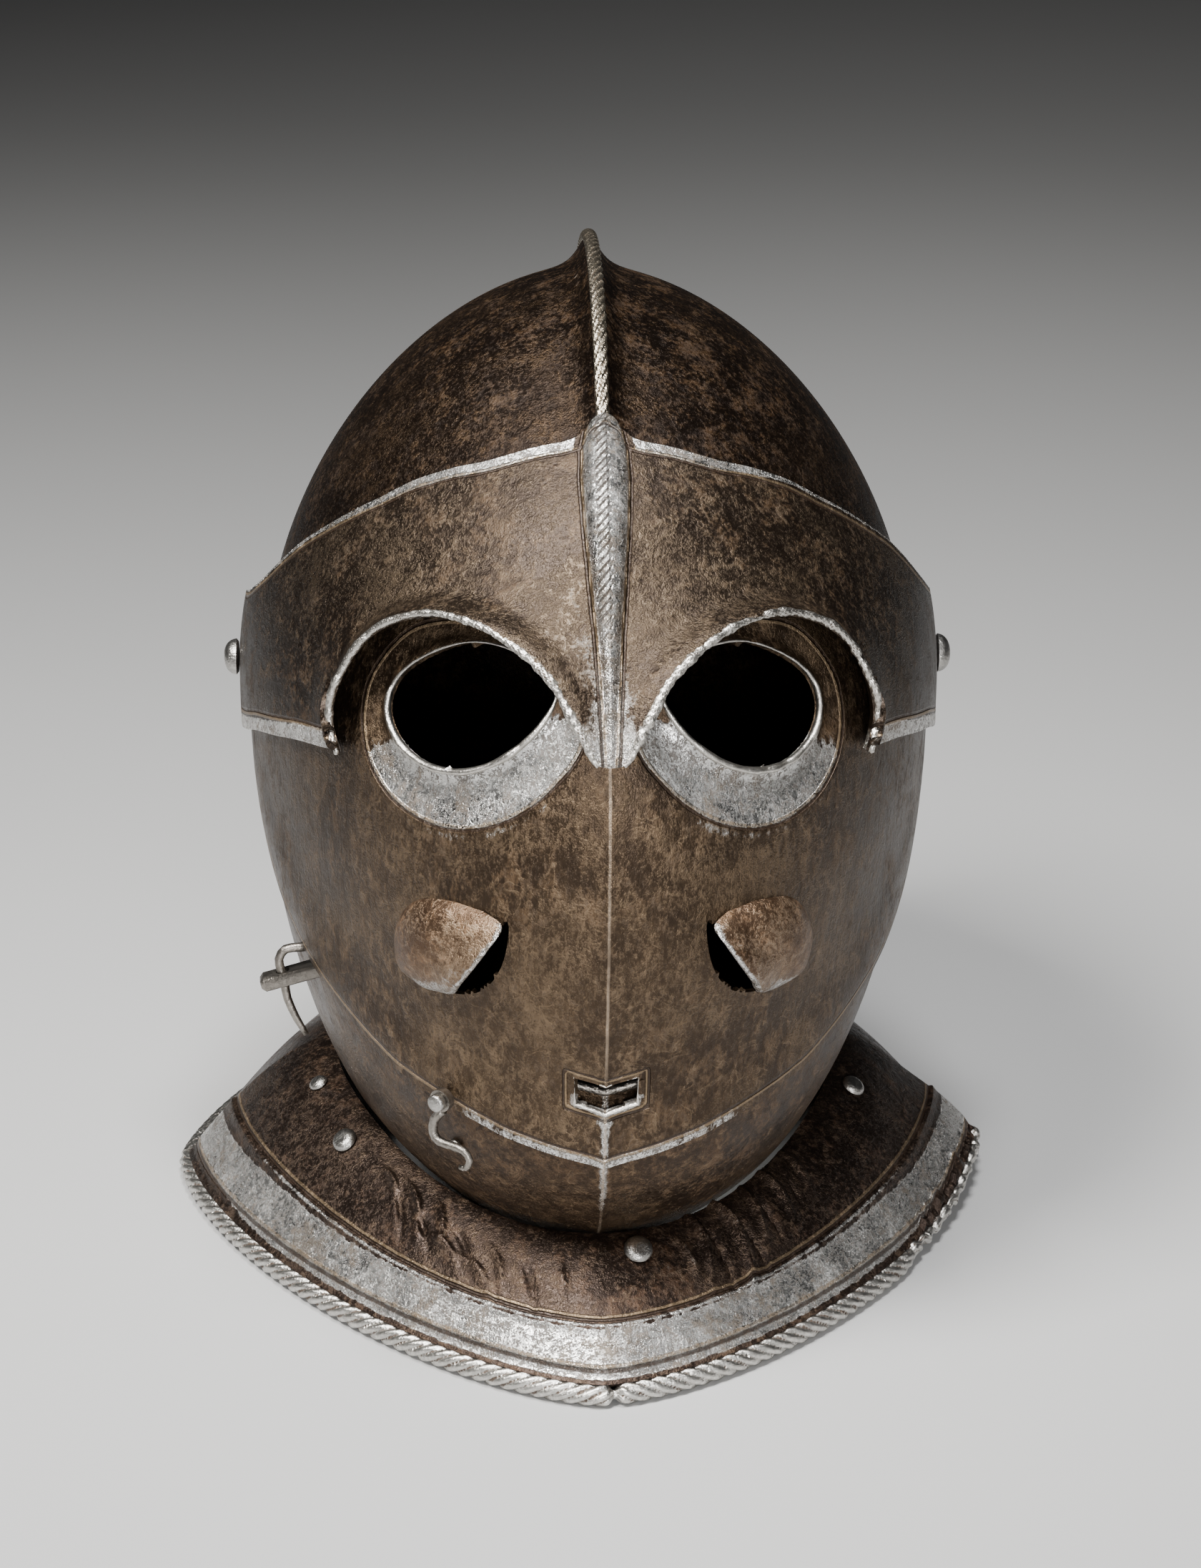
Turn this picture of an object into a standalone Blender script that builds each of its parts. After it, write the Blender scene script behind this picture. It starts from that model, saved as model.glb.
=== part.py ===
"""Savoyard close helmet: skull with comb, brow plate, face plate, bevor and two gorget plates.

Sizes are millimetres about the middle of the pivot line. +X is the photo's right, -Y is the face, +Z is up.
A direction is given by its turn from straight ahead to the side and its lift above the level, in degrees.
"""

import bmesh
import bpy
import numpy as np

MM = 0.001

# Driving sizes
HALF_WIDTH = 101.0  # skull, at the pivots
BOWL_REACH = 122.0  # pivot line to the crown
COMB_HEIGHT = 10.0
COMB_WIDTH = 4.2
WALL = 1.8
STEP_BEVOR, STEP_FACE, STEP_BROW = 2.8, 5.5, 8.4  # outer faces over the skull's
STAND_HEIGHT = 180.0  # pivot line above the table
CENTRE_BACK = 14.8  # pivot line behind the middle of the footprint
KEEL_HEIGHT, KEEL_HALF = 5.6, 6.6
HOOD_HEIGHT = 6.5
DOME_HEIGHT = 10.0
PIVOT_HOLE, PIVOT_SHANK, PIVOT_HEAD, PIVOT_RISE = 3.6, 3.5, 5.1, 4.4
RIDGE_HEIGHT, RIDGE_HALF = 1.4, 3.0  # down the middle of the face and the bevor
GORGET_HALF, GORGET_FRONT, GORGET_BACK = 133.0, 158.5, 121.5
NECK_SIDE_DROP, NECK_FRONT_DROP, NECK_BACK_DROP = 134.0, 147.0, 136.0
BEVOR_INSET = 2.5  # behind the mouth
NECK_GAP = 1.0
EDGE_BEAD = 3.4
LAP_SHARE = 0.80  # how far the rear plate reaches under the front one
GAP = 0.4
RIVET_SHANK, RIVET_HOLE = 1.7, 2.1
FRONT_LIFT = 2.6  # front neck plate over the rear one, where they lap
CUT_NEAR, CUT_FAR = 0.65 * BOWL_REACH, 1.8 * BOWL_REACH  # cutters run between these distances from the centre

# Middle reach of the whole shape as a share of BOWL_REACH, by angle up from straight ahead about the pivot line
SECTIONS = [
    # (angle, reach, squareness)
    (-105, 1.52, 2.30), (-80, 1.50, 2.25), (-68, 1.48, 2.12), (-58, 1.475, 2.05), (-48, 1.475, 1.97),
    (-40, 1.455, 1.92), (-36, 1.425, 1.89), (-31, 1.345, 1.86), (-24, 1.295, 1.84), (-15, 1.262, 1.82),
    (-6, 1.230, 1.81), (4, 1.205, 1.80), (10, 1.180, 1.80), (18, 1.131, 1.80), (30, 1.074, 1.80),
    (45, 1.020, 1.80), (58, 1.000, 1.80), (180, 1.000, 1.80), (200, 0.984, 1.85), (215, 0.960, 1.95),
    (228, 1.010, 2.05), (242, 1.230, 2.15), (255, 1.520, 2.30),
]

# Each column of a plate runs from its lower edge to its upper edge; the other half is mirrored
BROW_COLUMNS = [
    # (low_turn, low_lift, top_turn, top_lift)
    (0.0, 8.5, 0.0, 50.5), (1.0, 8.6, 1.7, 50.2), (1.9, 9.4, 3.4, 49.4), (3.0, 11.6, 5.2, 48.2),
    (4.7, 14.4, 7.5, 47.5), (6.3, 16.9, 10.5, 47.1), (9.0, 19.3, 14.0, 46.5), (12.2, 21.2, 18.0, 45.6),
    (16.0, 22.7, 22.0, 44.7), (21.5, 23.5, 27.5, 43.8), (26.2, 22.8, 32.0, 42.7), (30.6, 20.8, 36.0, 41.5),
    (33.6, 17.6, 39.5, 40.0), (35.4, 14.0, 43.0, 38.3), (36.5, 10.4, 46.0, 37.0), (36.4, 7.2, 49.5, 35.3),
    (34.8, 4.4, 53.0, 33.5), (41.0, 2.8, 57.5, 31.0), (48.0, 1.4, 62.0, 28.3), (56.0, -0.8, 67.0, 24.6),
    (65.0, -3.4, 73.0, 20.0), (74.0, -6.6, 79.0, 16.2), (81.5, -8.8, 84.5, 13.4), (87.8, -9.8, 90.0, 11.6),
    (92.6, -9.0, 94.0, 9.4), (95.0, -6.0, 97.0, 5.2),
]
FACE_COLUMNS = [
    (0.0, -36.4, 0.0, 30.0), (1.2, -36.3, 1.4, 30.0), (3.0, -36.1, 3.4, 30.0), (6.0, -35.8, 6.5, 30.0),
    (9.0, -35.5, 9.5, 30.0), (12.0, -35.3, 12.3, 30.0), (14.5, -35.0, 14.8, 29.8), (17.0, -34.8, 17.3, 29.6),
    (19.8, -34.6, 20.0, 29.4), (22.6, -34.5, 22.8, 29.0), (25.5, -34.4, 25.6, 28.6), (28.5, -34.3, 28.5, 28.0),
    (32.0, -33.8, 32.0, 27.2), (36.0, -33.2, 36.0, 26.3), (41.0, -32.5, 41.0, 25.2), (47.0, -31.8, 47.0, 23.6),
    (53.0, -30.8, 53.0, 21.6), (60.0, -28.8, 60.0, 19.0), (67.0, -25.6, 67.0, 16.4), (74.0, -21.0, 74.0, 13.8),
    (81.0, -15.8, 81.0, 11.6), (87.5, -11.6, 87.5, 10.0), (94.0, -8.4, 94.0, 8.2), (98.6, -4.6, 98.6, 4.8),
]
BEVOR_COLUMNS = [
    (0.0, -57.0, 0.0, -30.4), (3.0, -57.0, 3.0, -30.2), (8.0, -56.8, 8.0, -29.4), (15.0, -56.4, 15.0, -27.6),
    (23.0, -55.9, 22.5, -24.9), (32.0, -55.7, 30.5, -21.6), (42.0, -56.2, 39.5, -17.6), (52.0, -57.2, 48.5, -13.6),
    (62.0, -58.6, 58.0, -9.2), (71.0, -59.9, 67.0, -4.0), (79.0, -60.7, 75.5, 2.6), (85.5, -61.0, 82.5, 7.8),
    (90.5, -60.8, 88.0, 9.8), (94.4, -60.0, 92.2, 8.6), (97.2, -58.4, 95.6, 5.0),
]

# Openings, as (turn, lift) corners on the photo's right
EYE_HOLE = [
    (6.2, 15.8), (7.6, 12.2), (10.8, 8.8), (14.6, 6.4), (18.8, 5.2), (23.4, 5.4), (27.6, 7.4), (29.9, 10.8),
    (29.0, 14.8), (25.0, 18.2), (19.0, 20.6), (13.6, 20.6), (9.2, 18.8),
]
BREATH = [(11.5, -11.8), (12.2, -16.0), (15.6, -20.0), (20.2, -21.8), (19.4, -19.6), (16.6, -17.4), (14.2, -14.6)]
MOUTH = [(-3.6, -27.5), (0.0, -28.0), (3.6, -27.5), (3.4, -30.5), (0.0, -31.1), (-3.4, -30.5)]
LATCH_AT = (-19.0, -34.4)
NOTCH = 5.0
LATCH_STAND = 6.9  # hook's middle plane over the bevor
LATCH_HOOK = [
    # (beside the stud, above it, radius)
    (0.9, -3.3, 1.5), (-1.3, -7.6, 1.5), (-0.9, -12.0, 1.4), (1.6, -13.9, 1.4), (6.0, -13.2, 1.3),
    (10.3, -12.8, 1.2), (12.9, -14.8, 1.1), (12.3, -18.0, 1.0), (10.1, -18.7, 0.8),
]
KNOB_AT = (-19.6, -41.2)
KEEPER_HOLE_AT, KEEPER_HOLE = (-16.2, -38.8), 2.6
STUD_SEAT, STUD_STAND = (-51.5, -34.3), 3.4  # (turn, lift) on the bevor, and how far out the stud starts
STUD_WAY = (-0.96, -0.04, -0.26)
STUD_WIDE, STUD_THICK, STUD_OUT = 7.0, 4.2, 14.5
SIDE_HOOK = [
    # (side, back, up, radius), from the stud's start
    (1.1, 0.0, 8.0, 1.4), (-2.4, 0.0, 7.8, 1.4), (-6.4, 0.0, 7.2, 1.4), (-8.4, 0.0, 4.0, 1.4), (-7.8, -0.1, 0.0, 1.4),
    (-6.8, -0.3, -4.0, 1.4), (-6.0, -0.5, -9.0, 1.3), (-3.4, -0.9, -15.4, 1.15), (-0.4, -1.2, -20.8, 0.9),
]
HOOK_SEAT = (8.0, 0.0, 8.3)  # where the hook enters the face plate, and the stud's own hole, from the stud's start
STUD_HOLE_AT = (-6.9, -0.25, -2.0)

# Side view of the skull's face opening: (back, up) as shares of BOWL_REACH
FACE_OPENING = [
    (-1.90, 0.98), (-0.74, 0.60), (-0.46, 0.42), (-0.27, 0.26), (-0.20, 0.10), (-0.19, -0.08),
    (-0.21, -0.40), (-0.20, -0.80), (-0.17, -1.45), (-1.90, -1.45),
]

GORGET_RIVETS = [
    # (turn, share from neck to edge, head)
    (-72.0, 0.19, 3.1), (-53.0, 0.28, 4.2), (5.5, 0.22, 4.6), (69.0, 0.20, 4.0),
]
REAR_RIVETS = [(-118.0, 0.24, 3.4), (-164.0, 0.24, 3.4), (164.0, 0.24, 3.4), (118.0, 0.24, 3.4)]

STEEL = [
    # (name, colour, roughness)
    ("russet_steel", (0.155, 0.118, 0.092), 0.42),
    ("bright_steel", (0.46, 0.44, 0.41), 0.30),
    ("dark_iron", (0.11, 0.095, 0.085), 0.46),
]


def steel(name):
    """The named steel, made once."""
    found = bpy.data.materials.get(name)
    if found:
        return found
    colour, roughness = next(row[1:] for row in STEEL if row[0] == name)
    made = bpy.data.materials.new(name)
    made.use_nodes = True
    shader = made.node_tree.nodes["Principled BSDF"]
    shader.inputs["Base Color"].default_value = (*colour, 1)
    shader.inputs["Roughness"].default_value = roughness
    shader.inputs["Metallic"].default_value = 1
    made.diffuse_color = (*colour, 1)
    return made


def to_world(points):
    """Millimetres about the pivot line to metres on the table."""
    return (np.asarray(points, float) + (0, CENTRE_BACK, STAND_HEIGHT)) * MM


def direction(turn, lift):
    turn = np.radians(turn)
    lift = np.radians(lift)
    return np.stack([np.sin(turn) * np.cos(lift), -np.cos(turn) * np.cos(lift), np.sin(lift)], -1)


def angle_up(points):
    """Angle about the pivot line, from straight ahead over the crown to the nape."""
    angle = np.degrees(np.arctan2(points[..., 2], -points[..., 1]))
    return np.where(angle < -100, angle + 360, angle)


def on_shell(way, step):
    """Points where these directions meet the helmet's shape, set out by step."""
    angle, reach, square = np.array(SECTIONS, float).T
    up = angle_up(way)
    reach = np.interp(up, angle, reach) * BOWL_REACH + step
    square = np.interp(up, angle, square)
    side = np.abs(way[..., 0]) / (HALF_WIDTH + step)
    middle = np.hypot(way[..., 1], way[..., 2]) / reach
    return way / ((side**square + middle**square) ** (1 / square))[..., None]


def push(points, height):
    """The points moved straight away from the centre by height."""
    length = np.linalg.norm(points, axis=-1, keepdims=True)
    return points * (1 + height[..., None] / length)


def brow_surface(turn, lift):
    points = on_shell(direction(turn, lift), STEP_BROW)
    around = np.hypot((np.abs(turn) - 19.5) / 16.5, (lift - 12.5) / 11.0)
    hood = HOOD_HEIGHT * np.clip(1 - (around - 1) / 0.75, 0, 1) ** 2
    up = angle_up(points)
    half = KEEL_HALF * np.interp(up, (8, 14, 24, 50), (0.42, 0.42, 0.7, 1))
    height = KEEL_HEIGHT * np.interp(up, (8, 14, 26, 46), (0.35, 0.45, 0.8, 1))
    keel = height * np.clip(1 - (points[..., 0] / half) ** 2, 0, 1) ** 0.7
    return push(points, np.maximum(hood, 0.6 * hood + keel))


def breath_dome(turn, lift):
    """Height of the scale-shaped breath, with its lip towards the nose."""
    across = (np.abs(turn) - 20.0) / 9.2
    down = (lift + 16.4) / 6.6
    round_part = np.clip(1 - across**2 - down**2, 0, 1) ** 0.6
    lip = np.clip((np.abs(turn) - 11.0 + 0.35 * (lift + 12.0)) / 3.5, 0, 1)
    return DOME_HEIGHT * round_part * lip


def face_surface(turn, lift):
    points = on_shell(direction(turn, lift), STEP_FACE)
    ridge = RIDGE_HEIGHT * np.exp(-np.abs(points[..., 0]) / RIDGE_HALF) * np.clip((4 - lift) / 10, 0, 1)
    return push(points, ridge + breath_dome(turn, lift))


def bevor_surface(turn, lift):
    points = on_shell(direction(turn, lift), STEP_BEVOR)
    ridge = RIDGE_HEIGHT * np.exp(-np.abs(points[..., 0]) / RIDGE_HALF)
    under_face = np.clip((lift + 42) / 6, 0, 1) * np.clip((44 - np.abs(turn)) / 12, 0, 1)
    return push(points, ridge - BEVOR_INSET * under_face)


def named_object(name, bm, material):
    """A new object of this mesh, facing out."""
    bm.normal_update()
    bmesh.ops.recalc_face_normals(bm, faces=bm.faces)
    mesh = bpy.data.meshes.new(name)
    bm.to_mesh(mesh)
    bm.free()
    obj = bpy.data.objects.new(name, mesh)
    bpy.context.collection.objects.link(obj)
    mesh.materials.append(steel(material))
    return obj


def move_vertices(bm, points):
    """Puts the mesh's vertices at these points, given in millimetres about the pivot line."""
    for vert, place in zip(bm.verts, to_world(points)):
        vert.co = place


def plate(name, table, surface, rows, material):
    """A wall of even thickness inside the surface, between the table's lower and upper edges."""
    half = np.array(table, float)
    mirrored = half[:0:-1] * (-1, 1, -1, 1)
    columns = np.concatenate([mirrored, half])
    bm = bmesh.new()
    bmesh.ops.create_grid(bm, x_segments=len(columns) - 1, y_segments=rows, size=1)
    place = np.array([vert.co[:2] for vert in bm.verts])
    column = np.round((place[:, 0] + 1) / 2 * (len(columns) - 1)).astype(int)
    share = (place[:, 1] + 1) / 2
    low = columns[column, :2]
    top = columns[column, 2:]
    turn, lift = (low + (top - low) * share[:, None]).T
    move_vertices(bm, surface(turn, lift))
    obj = named_object(name, bm, material)
    outward = obj.data.polygons[len(obj.data.polygons) // 2]
    centre = to_world([(0, 0, 0)])[0]
    if outward.normal.dot(outward.center - type(outward.center)(centre)) < 0:
        obj.data.flip_normals()
    wall = obj.modifiers.new("Wall", "SOLIDIFY")
    wall.thickness = WALL * MM
    wall.offset = -1
    wall.use_even_offset = False
    return obj


def hide(obj):
    obj.hide_render = True
    obj.display_type = "WIRE"


def cut(obj, cutter):
    """Takes the cutter's shape away from the object."""
    boolean = obj.modifiers.new(cutter.name, "BOOLEAN")
    boolean.operation = "DIFFERENCE"
    boolean.solver = "EXACT"
    boolean.object = cutter


def loft(name, loops, material="dark_iron"):
    """A closed solid through equal loops of points, with flat ends."""
    bm = bmesh.new()
    rings = [[bm.verts.new(p) for p in to_world(loop)] for loop in loops]
    count = len(rings[0])
    for first, second in zip(rings, rings[1:]):
        for i in range(count):
            j = (i + 1) % count
            bm.faces.new((first[i], first[j], second[j], second[i]))
    bm.faces.new(rings[0][::-1])
    bm.faces.new(rings[-1])
    bmesh.ops.triangulate(bm, faces=[face for face in bm.faces if len(face.verts) > 4])
    return named_object(name, bm, material)


def cone_cutter(name, corners):
    """A cutter that widens from the centre through these (turn, lift) corners."""
    turn, lift = np.array(corners, float).T
    way = direction(turn, lift)
    cutter = loft(name, [way * CUT_NEAR, way * CUT_FAR])
    hide(cutter)
    return cutter


def prism_across(name, outline):
    """A cutter along X with this (back, up) side view."""
    loops = [[(x, back, up) for back, up in outline] for x in (-CUT_FAR, CUT_FAR)]
    cutter = loft(name, loops)
    hide(cutter)
    return cutter


def ring(centre, axis, radius, count):
    """Points round an axis."""
    axis = np.asarray(axis, float) / np.linalg.norm(axis)
    helper = np.array((0.0, 0.0, 1.0)) if abs(axis[2]) < 0.9 else np.array((1.0, 0.0, 0.0))
    side = np.cross(axis, helper)
    side /= np.linalg.norm(side)
    other = np.cross(axis, side)
    angle = np.linspace(0, 2 * np.pi, count, endpoint=False)[:, None]
    return np.asarray(centre) + radius * (np.cos(angle) * side + np.sin(angle) * other)


def turned(name, start, axis, profile, count=20, material="bright_steel"):
    """A lathe-turned solid: profile rows are (distance along the axis, radius)."""
    axis = np.asarray(axis, float) / np.linalg.norm(axis)
    loops = [ring(np.asarray(start) + axis * along, axis, radius, count) for along, radius in profile]
    return loft(name, loops, material)


def domed(head, height, shank, grip, burr):
    """Profile of a rivet: inner burr, shank through grip, domed head on top of distance 0."""
    return [
        (-grip - 1.2, 0.7 * burr), (-grip - GAP, burr), (-grip - GAP, shank), (GAP, shank), (GAP, head),
        (GAP + 0.35 * height, 0.97 * head), (GAP + 0.72 * height, 0.72 * head), (GAP + 0.93 * height, 0.38 * head),
        (GAP + height, 0.10 * head),
    ]


def make_skull():
    """Bowl and comb from one closed egg, hollowed, then opened at the face and the neck."""
    across = np.array((0.0, 0.7, 1.5, 2.7, 4.6, 8, 14, 22, 31, 40, 49, 58, 67, 75, 82))
    across = np.concatenate([-across[:0:-1], across])
    around = 32
    bm = bmesh.new()
    bmesh.ops.create_uvsphere(bm, u_segments=around, v_segments=len(across) + 1, radius=1)
    place = np.array([vert.co for vert in bm.verts])
    latitude = np.degrees(np.arcsin(np.clip(place[:, 2], -1, 1)))
    row = np.round((latitude + 90) / 180 * (len(across) + 1)).astype(int)
    slope = np.radians(np.concatenate([[-90.0], across, [90.0]])[row])
    angle = np.arctan2(place[:, 1], place[:, 0])
    way = np.stack([np.sin(slope), -np.cos(slope) * np.cos(angle), np.cos(slope) * np.sin(angle)], -1)
    points = on_shell(way, 0.0)
    up = angle_up(points)
    height = np.interp(up, (36, 50, 66, 150, 185, 205), (0.2, 0.45, 1, 1, 0.6, 0)) * COMB_HEIGHT
    points = push(points, height * np.exp(-((np.abs(points[:, 0]) / COMB_WIDTH) ** 1.3)))
    move_vertices(bm, points)
    skull = named_object("skull", bm, "russet_steel")
    wall = skull.modifiers.new("Wall", "SOLIDIFY")
    wall.thickness = WALL * MM
    wall.offset = -1
    outline = [(back * BOWL_REACH, up * BOWL_REACH) for back, up in FACE_OPENING]
    cut(skull, prism_across("cut_face_opening", outline))
    neck = NECK_BACK_DROP + FRONT_LIFT
    floor = [(-CUT_FAR, -neck), (CUT_FAR, -neck), (CUT_FAR, -2 * neck), (-CUT_FAR, -2 * neck)]
    cut(skull, prism_across("cut_neck", floor))
    return skull


def neck_drop(turn):
    """How far the gorget's neck edge lies below the pivot line."""
    c = np.cos(np.radians(turn))
    return NECK_SIDE_DROP + (np.where(c > 0, NECK_FRONT_DROP, NECK_BACK_DROP) - NECK_SIDE_DROP) * c**2


def neck_reach(turn, lift):
    """Level distance from the middle to the neck edge, which clears the bevor in front and the skull behind."""
    lifts = np.linspace(-74, -35, 79)
    found = []
    for one in np.atleast_1d(np.abs(turn)):
        step = np.interp(one, (104, 112), (STEP_BEVOR, 0)) + NECK_GAP
        points = on_shell(direction(np.full(len(lifts), one), lifts), step)
        heights = lift - neck_drop(one) + np.linspace(-3.2, 0.5, 6)
        found.append(np.interp(heights, points[:, 2], np.hypot(points[:, 0], points[:, 1])).max())
    return np.array(found)


def gorget_point(turn, share, lift=0.0):
    """A point of the gorget's upper face: share runs from the neck to the lower edge."""
    ahead = np.abs(turn) <= 90
    s = np.abs(np.sin(np.radians(turn)))
    c = np.abs(np.cos(np.radians(turn)))
    neck = neck_reach(turn, lift)
    power = np.where(ahead, 1.5, 1.5 + 0.5 * c)
    edge_reach = np.where(ahead, GORGET_FRONT, GORGET_BACK)
    edge = ((s / GORGET_HALF) ** power + (c / edge_reach) ** power) ** (-1 / power)
    reach = neck + (edge - EDGE_BEAD - neck) * share
    drop = neck_drop(turn)
    down = drop + (STAND_HEIGHT - EDGE_BEAD - 0.6 - drop) * share**1.6
    x = reach * np.sin(np.radians(turn))
    y = -reach * np.cos(np.radians(turn))
    return np.stack([x, y, lift - down], -1)


def gorget_plate(name, turns, raised, beads, material):
    """The neck plate swept round: a thin wall that ends in a round bead, flat below to stand on."""
    shares = np.array((0.0, 0.15, 0.35, 0.56, 0.76, 0.93))
    loops = []
    for turn, lift, bead in zip(turns, raised, beads):
        run = shares * (1 if bead == EDGE_BEAD else LAP_SHARE)
        upper = gorget_point(np.full(len(shares), turn), run, lift)
        lower = upper - (0, 0, WALL * 1.15)
        edge = gorget_point(np.array([turn]), np.array([1.0]), 0.0)[0]
        out = edge * (1, 1, 0) / np.linalg.norm(edge[:2])
        if bead == EDGE_BEAD:
            centre = edge * (1, 1, 0) - (0, 0, STAND_HEIGHT - bead)
            angle = np.radians((110, 62, 18, -28, -62, -118, -155))
        else:
            centre = (upper[-1] + lower[-1]) / 2
            angle = np.radians((62, 42, 21, 0, -21, -42, -62))
        round_edge = centre + bead * (np.cos(angle)[:, None] * out + np.sin(angle)[:, None] * (0, 0, 1))
        if bead == EDGE_BEAD:
            round_edge[4:6, 2] = -STAND_HEIGHT
        loops.append(np.concatenate([upper, round_edge, lower[::-1]]))
    return loft(name, loops, material)


def tube(name, path, radius, material, count=10, flat=1.0):
    """A round rod along a path, its ends rounded off."""
    path = np.asarray(path, float)
    along = np.gradient(path, axis=0)
    along /= np.linalg.norm(along, axis=1, keepdims=True)
    normal = np.cross(along, path[-1] - path[0] + (0.013, 0.4, 0.021))[0]
    loops = []
    sizes = np.full(len(path), float(radius)) if np.isscalar(radius) else np.asarray(radius, float)
    for point, ahead, size in zip(path, along, sizes):
        normal = normal - ahead * normal.dot(ahead)
        normal /= np.linalg.norm(normal)
        other = np.cross(ahead, normal)
        angle = np.linspace(0, 2 * np.pi, count, endpoint=False)[:, None]
        loops.append(point + size * (np.cos(angle) * normal * flat + np.sin(angle) * other))
    return loft(name, loops, material)


def smooth_path(points, steps):
    """Catmull-Rom points through these."""
    points = np.asarray(points, float)
    ends = np.concatenate([[2 * points[0] - points[1]], points, [2 * points[-1] - points[-2]]])
    made = []
    for a, b, c, d in zip(ends, ends[1:], ends[2:], ends[3:]):
        for t in np.linspace(0, 1, steps, endpoint=False):
            bend = (2 * a - 5 * b + 4 * c - d) * t**2 + (3 * b - a - 3 * c + d) * t**3
            made.append(0.5 * (2 * b + (c - a) * t + bend))
    return np.array(made + [points[-1]])


def surface_frame(surface, turn, lift):
    """A point of a surface, with its outward, sideways and upward directions."""
    turns = np.array([turn, turn + 0.2, turn], float)
    lifts = np.array([lift, lift, lift + 0.2], float)
    point, beside, above = surface(turns, lifts)
    side = beside - point
    side /= np.linalg.norm(side)
    out = np.cross(side, above - point)
    out /= np.linalg.norm(out)
    return point, out, side, np.cross(out, side)


for old in list(bpy.data.objects):
    bpy.data.objects.remove(old)

skull = make_skull()
brow = plate("brow_plate", BROW_COLUMNS, brow_surface, 9, "russet_steel")
face = plate("face_plate", FACE_COLUMNS, face_surface, 15, "russet_steel")
bevor = plate("bevor", BEVOR_COLUMNS, bevor_surface, 10, "russet_steel")

pivot_hole = turned("cut_pivots", (-CUT_FAR, 0, 0), (1, 0, 0), [(0, PIVOT_HOLE), (2 * CUT_FAR, PIVOT_HOLE)])
hide(pivot_hole)
for pivoted in (skull, brow, face, bevor):
    cut(pivoted, pivot_hole)

for side, mark in ((-1, "left"), (1, "right")):
    cut(face, cone_cutter(f"cut_eye_{mark}", [(side * turn, lift) for turn, lift in EYE_HOLE]))
    cut(face, cone_cutter(f"cut_breath_{mark}", [(side * turn, lift) for turn, lift in BREATH]))
    head = HALF_WIDTH + STEP_BROW
    profile = domed(PIVOT_HEAD, PIVOT_RISE, PIVOT_SHANK, STEP_BROW + WALL + 0.3, 5.4)
    turned(f"pivot_rivet_{mark}", (side * head, 0, 0), (side, 0, 0), profile)
cut(face, cone_cutter("cut_mouth", MOUTH))

front_turns = np.concatenate([np.linspace(-90.6, -84, 3), np.linspace(-76, 76, 19), np.linspace(84, 90.6, 3)])
front_raised = np.full(len(front_turns), FRONT_LIFT)
front_beads = np.full(len(front_turns), EDGE_BEAD)
gorget_plate("front_gorget", front_turns, front_raised, front_beads, "russet_steel")
rear_turns = np.concatenate([[86.5, 89.5, 90.9, 91.1], np.linspace(98, 262, 19), [268.9, 269.1, 270.5, 273.5]])
rear_beads = np.where((rear_turns < 91) | (rear_turns > 269), 0.9, EDGE_BEAD)
signed_turns = np.where(rear_turns > 180, rear_turns - 360, rear_turns)
gorget_plate("rear_gorget", signed_turns, np.zeros(len(rear_turns)), rear_beads, "russet_steel")


def gorget_rivet(name, plate_object, row, lift):
    """A domed rivet through a gorget plate."""
    turn, share, head = row
    turns = np.array([turn, turn + 0.3, turn])
    shares = np.array([share, share, share + 0.02])
    point, beside, below = gorget_point(turns, shares, lift)
    out = np.cross(below - point, beside - point)
    out *= np.sign(out[2]) / np.linalg.norm(out)
    hole = turned(f"cut_{name}", point - out * 8, out, [(0, RIVET_HOLE), (16, RIVET_HOLE)], 12)
    hide(hole)
    cut(plate_object, hole)
    turned(name, point, out, domed(head, 0.62 * head, RIVET_SHANK, WALL + 0.5, 2.8), 12)


front = bpy.data.objects["front_gorget"]
rear = bpy.data.objects["rear_gorget"]
for number, row in enumerate(GORGET_RIVETS, 1):
    gorget_rivet(f"gorget_rivet_{number}", front, row, FRONT_LIFT)
for number, row in enumerate(REAR_RIVETS, 1):
    gorget_rivet(f"rear_rivet_{number}", rear, row, 0.0)

# Chin latch: stud, swinging hook and the knob that stops it
at, out, beside, above = surface_frame(bevor_surface, *LATCH_AT)
hole = turned("cut_latch_stud", at - out * 8, out, [(0, RIVET_HOLE), (12, RIVET_HOLE)], 14)
notch = turned("cut_latch_notch", at - out * 8, out, [(0, NOTCH), (22, NOTCH)], 24)
knob_at, knob_out = surface_frame(bevor_surface, *KNOB_AT)[:2]
knob_hole = turned("cut_latch_knob", knob_at - knob_out * 8, knob_out, [(0, RIVET_HOLE), (12, RIVET_HOLE)], 14)
keeper_at, keeper_out = surface_frame(bevor_surface, *KEEPER_HOLE_AT)[:2]
keeper_hole = turned("cut_keeper", keeper_at - keeper_out * 8, keeper_out, [(0, KEEPER_HOLE), (14, KEEPER_HOLE)], 18)
for cutter in (hole, notch, knob_hole, keeper_hole):
    hide(cutter)
for cutter in (hole, knob_hole, keeper_hole):
    cut(bevor, cutter)
cut(face, notch)
grip = WALL + 0.9
stud_profile = [
    (-grip - 1.4, 1.9), (-grip - GAP, 2.8), (-grip - GAP, RIVET_SHANK), (LATCH_STAND + 1.7, RIVET_SHANK),
    (LATCH_STAND + 1.7, 2.7), (LATCH_STAND + 3.5, 2.7), (LATCH_STAND + 4.0, 2.2),
]
turned("latch_stud", at, out, stud_profile, 20)
turned("latch_knob", knob_at, knob_out, domed(2.4, 1.9, RIVET_SHANK, grip, 2.6), 12)
local = smooth_path(LATCH_HOOK, 2)
arm_path = at + out * LATCH_STAND + local[:, :1] * beside + local[:, 1:2] * above
arm = tube("latch_hook", arm_path, local[:, 2], "dark_iron", 8)
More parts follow.
